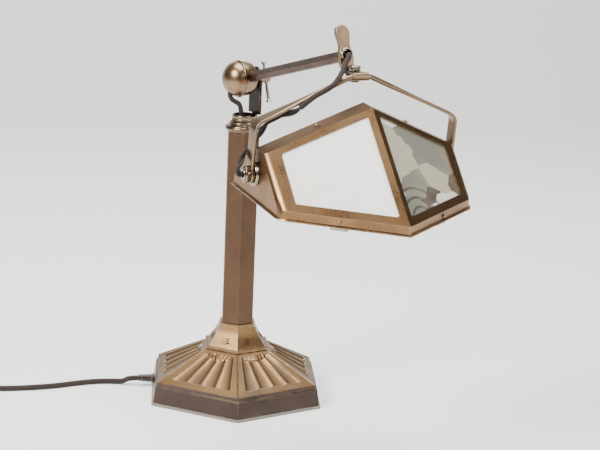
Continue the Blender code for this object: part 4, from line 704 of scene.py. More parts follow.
def even(fine: Sequence[Vector], step: float) -> list[Vector]:
    """Resample a polyline at even distances.

    Args:
        fine: Its points, close together.
        step: The distance between the new points, nearly.

    Returns:
        The new points, with the same two ends.
    """
    spans = [0.0]
    for a, b in zip(fine, fine[1:]):
        spans.append(spans[-1] + (b - a).length)
    count = max(2, round(spans[-1] / step) + 1)
    result, cursor = [], 0
    for i in range(count):
        goal = spans[-1] * i / (count - 1)
        while cursor < len(spans) - 2 and spans[cursor + 1] < goal:
            cursor += 1
        share = (goal - spans[cursor]) / max(spans[cursor + 1] - spans[cursor], 1e-9)
        result.append(fine[cursor].lerp(fine[cursor + 1], min(share, 1.0)))
    return result


def path_frames(path: Sequence[Vector]) -> list[tuple[Vector, Vector]]:
    """Two directions across the path at each point, carried along without twisting.

    Args:
        path: The path's points.

    Returns:
        A pair of unit directions for each point.
    """
    frames = []
    side = None
    for i in range(len(path)):
        ahead = (path[min(i + 1, len(path) - 1)] - path[max(i - 1, 0)]).normalized()
        if side is None:
            side = ahead.orthogonal().normalized()
        side = (side - ahead * side.dot(ahead)).normalized()
        frames.append((side, ahead.cross(side)))
    return frames


def tube(bm: bmesh.types.BMesh, path: Sequence[Vector], radius: float, sides: int = 10) -> bmesh.types.BMesh:
    """Add a round tube along a path, with across and along coordinates.

    Args:
        bm: The mesh that gets the tube.
        path: The tube's centre line.
        radius: Its radius.
        sides: How many sides it has.

    Returns:
        The same mesh.
    """
    layer = bm.loops.layers.uv.verify()
    rings = []
    runs = [0.0]
    for a, b in zip(path, path[1:]):
        runs.append(runs[-1] + (b - a).length)
    for point, (u, v) in zip(path, path_frames(path)):
        turns = [2 * math.pi * k / sides for k in range(sides)]
        rings.append([bm.verts.new(point + (u * math.cos(a) + v * math.sin(a)) * radius) for a in turns])
    for i in range(len(rings) - 1):
        for k in range(sides):
            j = (k + 1) % sides
            face = bm.faces.new((rings[i][k], rings[i][j], rings[i + 1][j], rings[i + 1][k]))
            for loop, (c, r) in zip(face.loops, ((k, i), (k + 1, i), (k + 1, i + 1), (k, i + 1))):
                loop[layer].uv = (c / sides, runs[r])
    bm.faces.new(list(reversed(rings[0])))
    bm.faces.new(rings[-1])
    return bm


def to_mesh_object(name: str, bm: bmesh.types.BMesh) -> bpy.types.Object:
    """Link a bmesh as an object with outward faces.

    Args:
        name: The object's name.
        bm: Its shape, which is used up.

    Returns:
        The object.
    """
    bmesh.ops.remove_doubles(bm, verts=bm.verts, dist=1e-6)
    bmesh.ops.recalc_face_normals(bm, faces=bm.faces)
    data = bpy.data.meshes.new(name)
    bm.to_mesh(data)
    bm.free()
    item = bpy.data.objects.new(name, data)
    bpy.context.collection.objects.link(item)
    return item


def settled(item: bpy.types.Object) -> None:
    """Turn an object's modifiers into mesh.

    Args:
        item: The object.
    """
    bpy.context.view_layer.update()
    graph = bpy.context.evaluated_depsgraph_get()
    data = bpy.data.meshes.new_from_object(item.evaluated_get(graph))
    item.modifiers.clear()
    item.data = data


def taken(item: bpy.types.Object) -> bmesh.types.BMesh:
    """An object's shape as a bmesh; the object goes.

    Args:
        item: The object, which is removed.

    Returns:
        Its shape.
    """
    bm = bmesh.new()
    bm.from_mesh(item.data)
    bpy.data.objects.remove(item, do_unlink=True)
    return bm


def carve(item: bpy.types.Object, tools: Iterable[bmesh.types.BMesh], kind: str = "DIFFERENCE") -> None:
    """Cut or trim an object with other solids.

    Args:
        item: The object.
        tools: The solids, which are used up.
        kind: The Boolean's operation.
    """
    for index, bm in enumerate(tools):
        tool = to_mesh_object(f"{item.name}_tool_{index}", bm)
        modifier = item.modifiers.new("cut", "BOOLEAN")
        modifier.operation = kind
        modifier.solver = "EXACT"
        modifier.object = tool
        settled(item)
        bpy.data.objects.remove(tool, do_unlink=True)


def add_piece(name: str, bm: bmesh.types.BMesh, look: str, body: Body, place: Matrix = UPRIGHT,
              replaces: Sequence[str] = (), edge: float = 0.0003, smooth: float = 35.0,
              tools: Iterable[bmesh.types.BMesh] = (), ride: bool = True) -> bpy.types.Object:
    """Make one piece: place it, cut it, round its edges, finish it and let it ride.

    Args:
        name: The object's name.
        bm: Its shape in its own frame.
        look: A key of FINISHES.
        body: The body that it rides on.
        place: The frame that the shape is in.
        replaces: CAD nodes that it stands for.
        edge: Width of its rounded edges, 0 for none.
        smooth: Angle in degrees above which an edge is sharp.
        tools: Shapes in the same frame to cut away.
        ride: Whether it rides on its body; the bent cords don't.

    Returns:
        The object.
    """
    item = to_mesh_object(name, moved(bm, place))
    carve(item, [moved(tool, place) for tool in tools])
    for polygon in item.data.polygons:
        polygon.use_smooth = True
    item.data.set_sharp_from_angle(angle=math.radians(smooth))
    item.data.materials.clear()
    item.data.materials.append(finish(look))
    if edge:
        modifier = item.modifiers.new("edges", "BEVEL")
        modifier.width = edge
        modifier.segments = 2
        modifier.limit_method = "ANGLE"
        modifier.angle_limit = math.radians(smooth)
        modifier.harden_normals = True
        settled(item)
    if replaces:
        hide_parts(*replaces)
    if ride:
        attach(item, body.value)
    LOG.info("%s, %s, on %s", name, look, body.value)
    return item


# ---------------------------------------------------------------- studio
def soft_light(name: str, place: tuple, target: tuple, size: float, power: float, colour: Rgb) -> None:
    """Add a square area light aimed at a point.

    Args:
        name: The light's name.
        place: Where it stands.
        target: What it is aimed at.
        size: Its width in metres.
        power: Its power in watts.
        colour: Its colour.
    """
    data = bpy.data.lights.new(name, "AREA")
    data.size = size
    data.energy = power
    data.color = colour
    item = bpy.data.objects.new(name, data)
    bpy.context.collection.objects.link(item)
    way = Vector(target) - Vector(place)
    item.matrix_world = Matrix.Translation(place) @ way.to_track_quat("-Z", "Y").to_matrix().to_4x4()


def build_studio() -> None:
    """Pale floor that curves up into a backdrop, soft lights and an even surround."""
    run = [(-3.2, 0.0), (1.6, 0.0)] + [(1.6 + 0.8 * math.sin(a), 0.8 - 0.8 * math.cos(a))
                                       for a in (math.pi / 2 * i / 12 for i in range(1, 13))] + [(2.4, 3.2)]
    bm = bmesh.new()
    rows = [[bm.verts.new((x, y, z)) for x in (-3.0, 3.0)] for y, z in run]
    for a, b in zip(rows, rows[1:]):
        bm.faces.new((a[0], a[1], b[1], b[0]))
    floor = to_mesh_object("studio_floor", bm)
    graph = Graph("pale_backdrop")
    floor.data.materials.append(graph.shade(Base_Color=(0.93, 0.93, 0.935), Roughness=0.9))
    for face in floor.data.polygons:
        face.use_smooth = True
    soft_light("key", (-1.5, -1.3, 1.7), (0.0, -0.1, 0.2), 1.0, 96.0, (1.0, 0.96, 0.91))
    soft_light("fill", (1.7, -1.6, 1.1), (0.0, 0.0, 0.2), 1.0, 26.0, (1.0, 0.98, 0.95))
    soft_light("top", (0.1, 0.2, 2.1), (0.0, 0.1, 0.0), 1.4, 78.0, (1.0, 1.0, 1.0))
    world = bpy.data.worlds.new("surround")
    world.use_nodes = True
    world.node_tree.nodes["Background"].inputs[0].default_value = (0.36, 0.33, 0.30, 1.0)
    world.node_tree.nodes["Background"].inputs[1].default_value = 0.40
    bpy.context.scene.world = world


# ---------------------------------------------------------------- foot and column
@dataclass(frozen=True)
class Foot:
    """Felt, stepped wall and six sloping panels with fluted fields and a row of petals."""

    felt: float = 0.1014
    wall_low: float = 0.0997
    wall_top: float = 0.0970
    shell_z: float = 0.0028
    step_z: float = 0.0200
    slope: float = 0.0946
    slope_z: float = 0.0242
    top: float = 0.0360
    top_z: float = 0.0528
    side_margin: float = 0.105
    low_margin: float = 0.13
    high_margin: float = 0.10
    depth: float = 0.0009
    flute: float = 0.0004
    slant: float = 0.0583
    flutes: int = 4
    grid: int = 96
    petals: tuple[tuple[float, float, float], ...] = (
        (-0.0092, 0.885, 0.0042), (0.0092, 0.885, 0.0042), (-0.0046, 0.868, 0.0046), (0.0046, 0.868, 0.0046),
        (0.0, 0.855, 0.0050))
    petal_depth: float = 0.0007
    petal_step: float = 0.00016
    petal_dish: float = 0.0012
    ridge: float = 0.0011

    def sink(self, s: float, t: float) -> float:
        """Depth of the panel's relief.

        Args:
            s: Place across the panel, 0 to 1.
            t: Place up the panel, 0 to 1.

        Returns:
            The depth in metres.
        """
        inside = (s - self.side_margin) / (1 - 2 * self.side_margin)
        if not 0 < inside < 1 or not self.low_margin < t < 1 - self.high_margin:
            return 0.0
        share = inside * self.flutes % 1.0
        bow = 1 - (2 * share - 1) ** 2
        end = self.low_margin + 0.035 * (1 - math.sqrt(max(bow, 0.0)))
        if t < end:
            return 0.0
        rib = 1 - abs(2 * share - 1) ** 7
        value = self.depth * rib + self.flute * bow
        width = self.slope * (1 - t) + self.top * t
        x = (s - 0.5) * width
        for layer, (across, up, size) in enumerate(self.petals):
            reach = math.hypot(x - across, (t - up) * self.slant) / size
            if reach < 1:
                value = self.petal_depth - self.petal_step * layer + self.petal_dish * reach ** 6
        return value

    def build(self) -> None:
        """Make the foot's pieces."""
        felt = prism([p.xy for p in ring_points(self.felt, HEX)], 0.0, 0.0025)
        add_piece("felt", felt, "felt", Body.FOOT, replaces=("felt_pad",), edge=0.0006)
        under = self.slope_z - 0.0002
        wall = lathe([(self.wall_low - 0.006, self.shell_z), (self.wall_low, self.shell_z),
                      (self.wall_top, self.step_z), (self.slope + GAP, self.step_z + GAP),
                      (self.slope, under), (self.slope - 0.006, under)], HEX)
        # The upright wall takes the darker copy of the bronze: painted shade on the shell's sides.
        add_piece("foot_wall", wall, "wall", Body.FOOT, replaces=("base_shell",), edge=0.0006, smooth=20.0)
        bm = bmesh.new()
        low = ring_points(self.slope, HEX, self.slope_z)
        high = ring_points(self.top, HEX, self.top_z)
        for side in range(HEX):
            nxt = (side + 1) % HEX
            normal = (low[nxt] - low[side]).cross(high[side] - low[side]).normalized()
            grid = []
            for r in range(self.grid + 1):
                t = r / self.grid
                a, b = low[side].lerp(high[side], t), low[nxt].lerp(high[nxt], t)
                grid.append([bm.verts.new(a.lerp(b, c / self.grid) - normal * self.sink(c / self.grid, t))
                             for c in range(self.grid + 1)])
            for one, two in zip(grid, grid[1:]):
                for c in range(self.grid):
                    bm.faces.new((one[c], one[c + 1], two[c + 1], two[c]))
        bm.faces.new([bm.verts.new(p) for p in high])
        add_piece("foot_panels", bm, "cast", Body.FOOT, edge=0.0, smooth=24.0)
        ridges = bmesh.new()
        for a, b in zip(low, high):
            tube(ridges, [a - a.normalized() * 0.0009, b - b.normalized() * 0.0009], self.ridge, 8)
        add_piece("foot_ridges", ridges, "cast", Body.FOOT, edge=0.0)


@dataclass(frozen=True)
class Column:
    """Flared neck, hexagonal column and turned collar."""

    neck_z: float = 0.0531
    neck_top: float = 0.0787
    column: float = 0.0183
    column_top: float = 0.2825
    collar_z: float = 0.2828
    flange: float = 0.0373
    flare_foot: float = 0.0340
    flare_top: float = 0.0211
    waist: float = 0.0016
    stroke: float = 0.00045

    def build(self) -> None:
        """Make the neck, column and collar."""
        flange, ledge = self.neck_z + 0.0026, self.neck_top - 0.0026
        flare = []
        for i in range(15):
            t = i / 14
            r = self.flare_foot + (self.flare_top - self.flare_foot) * t - self.waist * math.sin(math.pi * t)
            flare.append((r, flange + (ledge - flange) * t ** 0.92))
        neck = [(0.0100, self.neck_z), (self.flange, self.neck_z), (self.flange, flange - 0.0004),
                (0.0369, flange), *flare, (0.0207, ledge), (0.0207, self.neck_top), (0.0100, self.neck_top)]
        add_piece("neck", lathe(neck, HEX), "cast", Body.FOOT, replaces=("neck",), edge=0.0006, smooth=18.0)
        shaft = lathe([(0.0160, 0.0745), (self.column, 0.0745), (self.column, self.column_top),
                       (0.0160, self.column_top)], HEX)
        add_piece("column", shaft, "column", Body.FOOT, replaces=("column",), edge=0.0009, smooth=18.0)
        top = self.collar_z + 0.0058
        floor = self.collar_z + 0.003
        collar = [(0.0056, self.collar_z), (0.0180, self.collar_z),
                  *arc(0.0172, self.collar_z + 0.0029, 0.0023, -62, 62), (0.0180, top - 0.0002),
                  (0.0157, top + 0.0002), (0.0152, top + 0.0008),
                  *arc(0.0138, top + 0.0025, 0.0012, -50, 60, 5), (0.0126, top + 0.0046), (0.0126, floor),
                  (0.0056, floor)]
        add_piece("collar", lathe(collar), "collar", Body.FOOT, replaces=("collar",), edge=0.00025)
        strokes = bmesh.new()
        base, tip = flare[2], flare[8]
        for side in range(HEX):
            turn = Matrix.Rotation(math.pi / 3 * side, 4, "Z")
            face = math.cos(math.pi / 6)
            for k in range(3):
                share = k / 4
                r = (base[0] + (tip[0] - base[0]) * share) * face
                z = base[1] + (tip[1] - base[1]) * share
                half = 0.0050 * (1 - 0.55 * share)
                path = [turn @ Vector((r - 0.0003, y, z + abs(y) * 0.5)) for y in (-half, 0.0, half)]
                tube(strokes, path, self.stroke, 6)
        add_piece("neck_strokes", strokes, "wall", Body.FOOT, edge=0.0)


# ---------------------------------------------------------------- stem, ball and arm
@dataclass(frozen=True)
class Stem:
    """Bush, strap, washer, clamp screw and loose bar."""

    stance: Stance
    face: float = 0.0108
    thick: float = 0.0025
    half: float = 0.0120
    tongue: float = 0.0040
    bush_z: float = 0.2935
    bush_top: float = 0.2995
    head_long: float = 0.0146

    def build(self) -> None:
        """Make the stem's pieces."""
        z, top = self.bush_z, self.bush_top
        low = z - 0.0024
        bush = [(0.0034, low), (0.0122, low), (0.0122, z), (0.0126, z),
                *arc(0.0116, z + 0.0011, 0.0013, -60, 60, 5), (0.0123, z + 0.0027),
                *arc(0.0112, top - 0.0014, 0.0014, -40, 80, 6), (0.0109, top - 0.0006),
                (0.0109, low + 0.0020), (0.0034, low + 0.0020)]
        near, wide = self.face - GAP, self.tongue + GAP
        slot = prism([(near, -wide), (0.0180, -wide), (0.0180, wide), (near, wide)], z + 0.0006, top + 0.002)
        stem = self.stance.stem()
        add_piece("swivel_bush", lathe(bush), "collar", Body.STEM, stem, ("swivel_bush",), 0.0002,
                  tools=(slot,))
        ball = self.stance.ball_height
        lip = top + GAP
        foot = z + 0.0009
        outline = [(-self.tongue, foot), (self.tongue, foot), (self.tongue, lip), (self.half, lip)]
        outline += [(self.half * math.cos(a), ball + self.half * math.sin(a))
                    for a in (math.pi * i / 24 for i in range(25))]
        outline += [(-self.half, lip), (-self.tongue, lip)]
        strap = prism(outline, self.face, self.face + self.thick, "X")
        add_piece("strap", strap, "dark", Body.STEM, stem, ("stem_strap",), 0.0005)
        frame_of = self.stance.ball()
        washer = turned([(0.0034, 0.0077), (0.0092, 0.0077), (0.0095, 0.0080), (0.0095, 0.0102),
                         (0.0092, 0.0105), (0.0034, 0.0105)], 48)
        add_piece("friction_washer", washer, "steel", Body.STEM, frame_of, ("friction_washer",), 0.0002)
        head = self.face + self.thick + GAP
        end = head + self.head_long
        screw = [(0, -0.007), (0.003, -0.007), (0.003, head), (0.0049, head), (0.0053, head + 0.0006),
                 (0.0053, end - 0.0030), *arc(0.0023, end - 0.0030, 0.0030, 0, 90, 8), (0, end)]
        add_piece("clamp_screw", turned(screw, 40), "satin", Body.KNOB, frame_of, ("clamp_screw",), 0.0002)
        low, high = -0.02605, 0.01645
        bar = [(0, low), (0.0024, low), (0.0029, low + 0.0007),
               *arc(0.0036, low + 0.0037, 0.0021, 235, 180, 5),
               *arc(0.0036, high - 0.0037, 0.0021, 180, 125, 5),
               (0.0029, high - 0.0007), (0.0024, high), (0, high)]
        add_piece("tommy_bar", lathe(bar, 32), "nickel", Body.TOMMY, self.stance.tommy(), ("tommy_bar",), 0.0)


def head_outline(side: float) -> Profile:
    """Outline of the arm's head: round lobe, waist and leaning thumb paddle.

    Args:
        side: The head's middle in the arm's frame.

    Returns:
        Pairs of x and z.
    """
    keys = [(-0.0139, 0.0), (-0.0134, 0.0032), (-0.0120, 0.0055), (-0.0094, 0.0071), (-0.0040, 0.0075),
            (0.0010, 0.0073), (0.0050, 0.0064), (0.0085, 0.0056), (0.0115, 0.0057), (0.0155, 0.0065),
            (0.0190, 0.0070), (0.0218, 0.0071), (0.0245, 0.0064), (0.0266, 0.0050), (0.0280, 0.0030),
            (0.0287, 0.0)]
    route = smooth_route([Vector((half, z, 0.0)) for z, half in keys], 0.0009)
    lean = math.tan(math.radians(5.6))
    right = [(side - max(p.y, 0.0) * lean + p.x, p.y) for p in route]
    left = [(side - max(p.y, 0.0) * lean - p.x, p.y) for p in reversed(route[1:-1])]
    return right + left


@dataclass(frozen=True)
class Arm:
    """Ball halves with their bead, hexagonal tube, cast head and tongue."""

    stance: Stance
    dome: float = 0.0178
    dome_depth: float = 0.0145
    rim_face: float = -0.0096
    cup_end: float = 0.0074
    flats: float = 0.0104
    head_side: float = -0.0017
    head_thick: float = 0.0046
    hole: float = 0.0047
    tongue_half: float = 0.0055
    tongue_thick: float = 0.0018

    def build(self) -> None:
        """Make the arm's pieces."""
        at = self.stance.arm()
        low = self.rim_face - GAP
        turns = [math.pi / 2 * i / 24 for i in range(25)]
        outer = [(self.dome * math.sin(a), low - self.dome_depth * math.cos(a)) for a in turns]
        inner = [((self.dome - 0.0013) * math.sin(a), low - (self.dome_depth - 0.0012) * math.cos(a))
                 for a in reversed(turns)]
        dome = turned(outer + inner, 72)
        down = Matrix.Rotation(self.stance.arm_pitch, 3, "X") @ Vector((0, 0, -1))
        hole = moved(lathe([(0, -0.006), (0.0033, -0.006), (0.0033, 0.006), (0, 0.006)], 24),
                     aimed(Vector((-0.0174, 0, 0)) + down * 0.014, down))
        add_piece("ball_dome", dome, "satin", Body.ARM, at, ("ball_dome",), 0.0, 50.0, (hole,))
        rim = [(0.0165, self.rim_face), (self.dome, self.rim_face),
               *arc(0.0177, self.rim_face + 0.0013, 0.0013, -80, 80), (self.dome, self.rim_face + 0.0026),
               (0.0165, self.rim_face + 0.0026)]
        add_piece("ball_rim", turned(rim, 72), "collar", Body.ARM, at, ("ball_rim",), 0.0)
        start = self.rim_face + 0.0029
        deep = self.cup_end - start
        cup = [(0.0112 + 0.0068 * math.cos(a) ** 0.8, start + deep * math.sin(a)) for a in turns[:-1]]
        cup += [(0.0112, self.cup_end), (0.0034, self.cup_end), (0.0034, self.cup_end - 0.002)]
        cup += [(0.0099 + 0.0068 * math.cos(a) ** 0.8, start + (self.cup_end - start - 0.002) * math.sin(a))
                for a in reversed(turns[:-1])]
        corner = self.flats / math.sqrt(3)
        side = self.stance.arm_side
        way = prism([(side + p.x, p.y) for p in ring_points(corner + 0.0002, HEX, 0, 0)], -0.026, -0.009, "Y")
        add_piece("ball_cup", turned(cup, 72), "satin", Body.ARM, at, ("ball_cup",), 0.0, 40.0, (way,))
        reach = self.stance.arm_reach
        bar = prism([(side + p.x, p.y) for p in ring_points(corner, HEX, 0, 0)], -0.013, -(reach - GAP), "Y")
        add_piece("arm_tube", bar, "arm", Body.ARM, at, ("arm_tube",), 0.0007, 20.0)
        front = -reach - self.head_thick
        eye = Vector((self.head_side, front, 0.0010))
        bore = lathe([(0, -0.02), (self.hole, -0.02), (self.hole, 0.02), (0, 0.02)], 48)
        bore = moved(bore, aimed(eye, (0, 1, 0)))
        head = prism(head_outline(self.head_side), front, -reach, "Y")
        add_piece("arm_head", head, "paddle", Body.ARM, at, ("arm_head",), 0.0008, 30.0, (bore,))
        rim = lathe([(self.hole, -0.0012), *arc(0.0055, -0.0006, 0.0008, 180, 360, 8), (0.0062, 0.0006),
                     (self.hole, 0.0006)], 48)
        add_piece("head_eyelet", moved(rim, aimed(eye, (0, 1, 0))), "nickel", Body.ARM, at, (), 0.0)
        swivel = self.stance.swivel_in_arm()
        pitch = self.stance.arm_pitch
        level = Vector((0, -math.cos(pitch), -math.sin(pitch)))
        rise = Vector((0, -math.sin(pitch), math.cos(pitch)))
        root = Vector((0, front + 0.0030, -0.0099))
        knee = swivel - level * 0.0067
        half, thick = self.tongue_half, self.tongue_thick
        outline = [root + rise * thick, knee + rise * thick, swivel + rise * thick, swivel - rise * thick,
                   knee - rise * thick, Vector((0, -reach - 0.0012, -0.0109))]
        tongue = prism([(p.y, p.z) for p in outline], swivel.x - half, swivel.x + half, "X")
        add_piece("tongue", tongue, "dark", Body.ARM, at, (), 0.0004)
        end = moved(lathe([(0, -thick), (half, -thick), (half, thick), (0, thick)], 40), aimed(swivel, rise))
        add_piece("tongue_end", end, "dark", Body.ARM, at, (), 0.0003)


# ---------------------------------------------------------------- yoke clamp and yoke
@dataclass(frozen=True)
class YokeClamp:
    """Folded clip, knurled thumb screw and hat-shaped nut."""

    stance: Stance
    rod_reach: float = 0.0130
    inner: float = 0.0027
    outer: float = 0.0037
    width: float = 0.0160
    ear: float = 0.0061

    def build(self) -> None:
        """Make the clamp's pieces."""
        at = self.stance.clamp()
        low, high = 0.0021, 0.0031

        def wrap(radius: float, height: float) -> Profile:
            """The turn of the clip round the rod.

            Args:
                radius: The turn's radius.
                height: Height of the flat that it starts from.

            Returns:
                Pairs of y and z.
            """
            start = math.asin(height / radius)
            turns = [start + (2 * math.pi - 2 * start) * i / 28 for i in range(29)]
            return [(-self.rod_reach + radius * math.cos(a), radius * math.sin(a)) for a in turns]

        outline = [(self.ear, high), *wrap(self.outer, high), (self.ear, -high), (self.ear, -low),
                   *reversed(wrap(self.inner, low)), (self.ear, low)]
        half = self.width / 2
        clip = prism(outline, -half, half, "X")
        plan = [(-half - 0.001, -0.022), (half + 0.001, -0.022), (half + 0.001, -self.rod_reach + self.outer)]
        turns = [math.radians(-10 + 10 * i) for i in range(21)]
        plan += [(self.ear * math.cos(a), self.ear * math.sin(a)) for a in turns]
        plan.append((-half - 0.001, -self.rod_reach + self.outer))
        item = to_mesh_object("yoke_clip_blank", clip)
        carve(item, [prism(plan, -0.01, 0.01)], "INTERSECT")
        add_piece("yoke_clip", taken(item), "yoke", Body.HEAD_CLAMP, at, ("yoke_clip",), 0.00025)
        bottom = -high - GAP
        nut = [(0.0019, bottom), (0.0026, bottom), (0.0024, bottom - 0.0018), (0.0044, bottom - 0.0024),
               *arc(0.0046, bottom - 0.0029, 0.0004, 80, -80, 5), (0.0040, bottom - 0.0036),
               (0.0019, bottom - 0.0036)]
        add_piece("thumb_nut", lathe(nut, 48), "nickel", Body.HEAD_CLAMP, at, ("thumb_nut",), 0.0)
        seat = high + GAP
        screw = [(0, bottom - 0.0042), (0.0016, bottom - 0.0042), (0.0016, seat), (0.0047, seat),
                 *arc(0.0044, seat + 0.0008, 0.0008, -60, 0, 4),
                 *arc(0.0044, seat + 0.0042, 0.0008, 0, 90, 5), (0, seat + 0.0050)]
        add_piece("thumb_screw", lathe(screw, 64), "nickel", Body.THUMB, at, ("thumb_screw",), 0.0)
        knurl_ring("thumb_knurl", at, 0.0051, seat + 0.0025, 0.0030, 34)


def knurl_ring(name: str, at: Matrix, radius: float, height: float, length: float, teeth: int) -> None:
    """Set knurl teeth round a circle with a node group; they ride with the thumb screw.

    Args:
        name: The object's name.
        at: The clamp's frame.
        radius: Radius of the circle that the teeth stand on.
        height: The teeth's middle above the frame's origin.
        length: How tall a tooth is.
        teeth: How many there are.
    """
    tree = bpy.data.node_groups.new(f"{name}_nodes", "GeometryNodeTree")
    tree.interface.new_socket("Geometry", in_out="OUTPUT", socket_type="NodeSocketGeometry")
    count = tree.interface.new_socket("Teeth", in_out="INPUT", socket_type="NodeSocketInt")
    size = tree.interface.new_socket("Radius", in_out="INPUT", socket_type="NodeSocketFloat")
    entry = tree.nodes.new("NodeGroupInput")
    leave = tree.nodes.new("NodeGroupOutput")
    circle = tree.nodes.new("GeometryNodeMeshCircle")
    tooth = tree.nodes.new("GeometryNodeMeshCube")
    tooth.inputs["Size"].default_value = (0.0007, 0.0007, length)
    spread = tree.nodes.new("GeometryNodeInstanceOnPoints")
    turn = tree.nodes.new("FunctionNodeAlignRotationToVector")
    where = tree.nodes.new("GeometryNodeInputPosition")
    real = tree.nodes.new("GeometryNodeRealizeInstances")
    paint = tree.nodes.new("GeometryNodeSetMaterial")
    paint.inputs["Material"].default_value = finish("nickel")
    turn.axis = "X"
    links = (
        (entry.outputs["Teeth"], circle.inputs["Vertices"]),
        (entry.outputs["Radius"], circle.inputs["Radius"]),
        (circle.outputs["Mesh"], spread.inputs["Points"]),
        (tooth.outputs["Mesh"], spread.inputs["Instance"]),
        (where.outputs[0], turn.inputs["Vector"]),
        (turn.outputs[0], spread.inputs["Rotation"]),
        (spread.outputs[0], real.inputs[0]),
        (real.outputs[0], paint.inputs["Geometry"]),
        (paint.outputs[0], leave.inputs[0]),
    )
    for one, two in links:
        tree.links.new(one, two)
    data = bpy.data.meshes.new(name)
    item = bpy.data.objects.new(name, data)
    bpy.context.collection.objects.link(item)
    modifier = item.modifiers.new("teeth", "NODES")
    modifier.node_group = tree
    modifier[count.identifier] = teeth
    modifier[size.identifier] = radius
    settled(item)
    item.data.transform(at @ Matrix.Translation((0, 0, height)))
    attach(item, Body.THUMB.value)
    LOG.info("%s, nickel, on %s", name, Body.THUMB.value)


@dataclass(frozen=True)
class Yoke:
    """Bow-shaped bar: round in its clip, flattened to legs with eyes."""

    stance: Stance
    half: float = 0.1024
    shoulder: float = 0.0405
    flat: float = 0.0095
    eye: float = 0.0088
    leg_width: float = 0.0130
    leg_thick: float = 0.0032
    rod: float = 0.0024
    bend: float = 0.010
    step: float = 0.0012

    def section(self, distance: float, length: float) -> tuple[float, float, float]:
        """The bar's section at a distance along it.

        Args:
            distance: The distance from one end.
            length: The bar's length.

        Returns:
            Width, thickness and roundness from 0 to 1.
        """
        end = min(distance, length - distance)
        if end < 2 * self.eye:
            half = math.sqrt(max(self.eye ** 2 - (end - self.eye) ** 2, (0.06 * self.eye) ** 2))
            return 2 * (max(half, self.leg_width / 2) if end > self.eye else half), self.leg_thick, 0.0
        leg = self.stance.yoke_drop - self.shoulder + self.eye
        share = min(max((end - leg) / (0.75 * (length / 2 - leg)), 0.0), 1.0)
        share = share * share * (3 - 2 * share)
        width = self.leg_width + (2 * self.rod - self.leg_width) * share
        return width, self.leg_thick + (2 * self.rod - self.leg_thick) * share ** 3, share

    def build(self) -> None:
        """Make the bar."""
        end = -self.stance.yoke_drop - self.eye
        half_bow = [(-self.half, end), (-self.half, -self.shoulder), (-self.flat, 0.0)]
        bow = half_bow + [(-x, z) for x, z in reversed(half_bow)]
        corners = [Vector((x, 0, z)) for x, z in bow]
        path = [corners[0]]
        for before, corner, after in zip(corners, corners[1:], corners[2:]):
            path += corner_arc(corner, before, after, self.bend, 14)
        path = even([*path, corners[-1]], self.step)
        bm = bmesh.new()
        rings = []
        length = self.step * (len(path) - 1)
        for i, point in enumerate(path):
            ahead = (path[min(i + 1, len(path) - 1)] - path[max(i - 1, 0)]).normalized()
            across = Vector((0, 1, 0))
            outward = ahead.cross(across)
            width, thick, share = self.section(length * i / (len(path) - 1), length)
            power = 0.30 + 0.70 * share
            ring = []
            for k in range(24):
                a = 2 * math.pi * (k + 0.5) / 24
                x = math.copysign(abs(math.cos(a)) ** power, math.cos(a))
                y = math.copysign(abs(math.sin(a)) ** power, math.sin(a))
                ring.append(point + across * (x * width / 2) + outward * (y * thick / 2))
            rings.append(ring)
        skin_rings(bm, rings, False)
        add_piece("yoke_bar", bm, "yoke", Body.YOKE, self.stance.yoke(), ("yoke_bar",), 0.0, 60.0)


# ---------------------------------------------------------------- shade
@dataclass(frozen=True)
class ShadeSizes:
    """Sizes of the shade, from its pivot axis."""

    half: float = 0.0972
    front: float = 0.0600
    nose: float = 0.1250
    back: float = 0.0465
    skin: float = 0.0012
    rim_z: float = -0.0250
    lip: float = 0.0022
    lip_high: float = 0.0020
    fascia: float = -0.0154
    end_top: float = 0.0233
    ridge_top: float = 0.0674
    strip: float = 0.0200
    strip_mid: float = 0.0320
    margins: tuple[float, float, float, float] = (0.0080, 0.0065, 0.0060, 0.0150)
    lap: float = 0.0035

    @property
    def strip_end(self) -> float:
        """Front of the top strip at the ends, which keeps the front faces flat."""
        share = (self.end_top - self.fascia) / (self.ridge_top - self.fascia)
        return self.front - (self.nose - self.strip_mid) * share


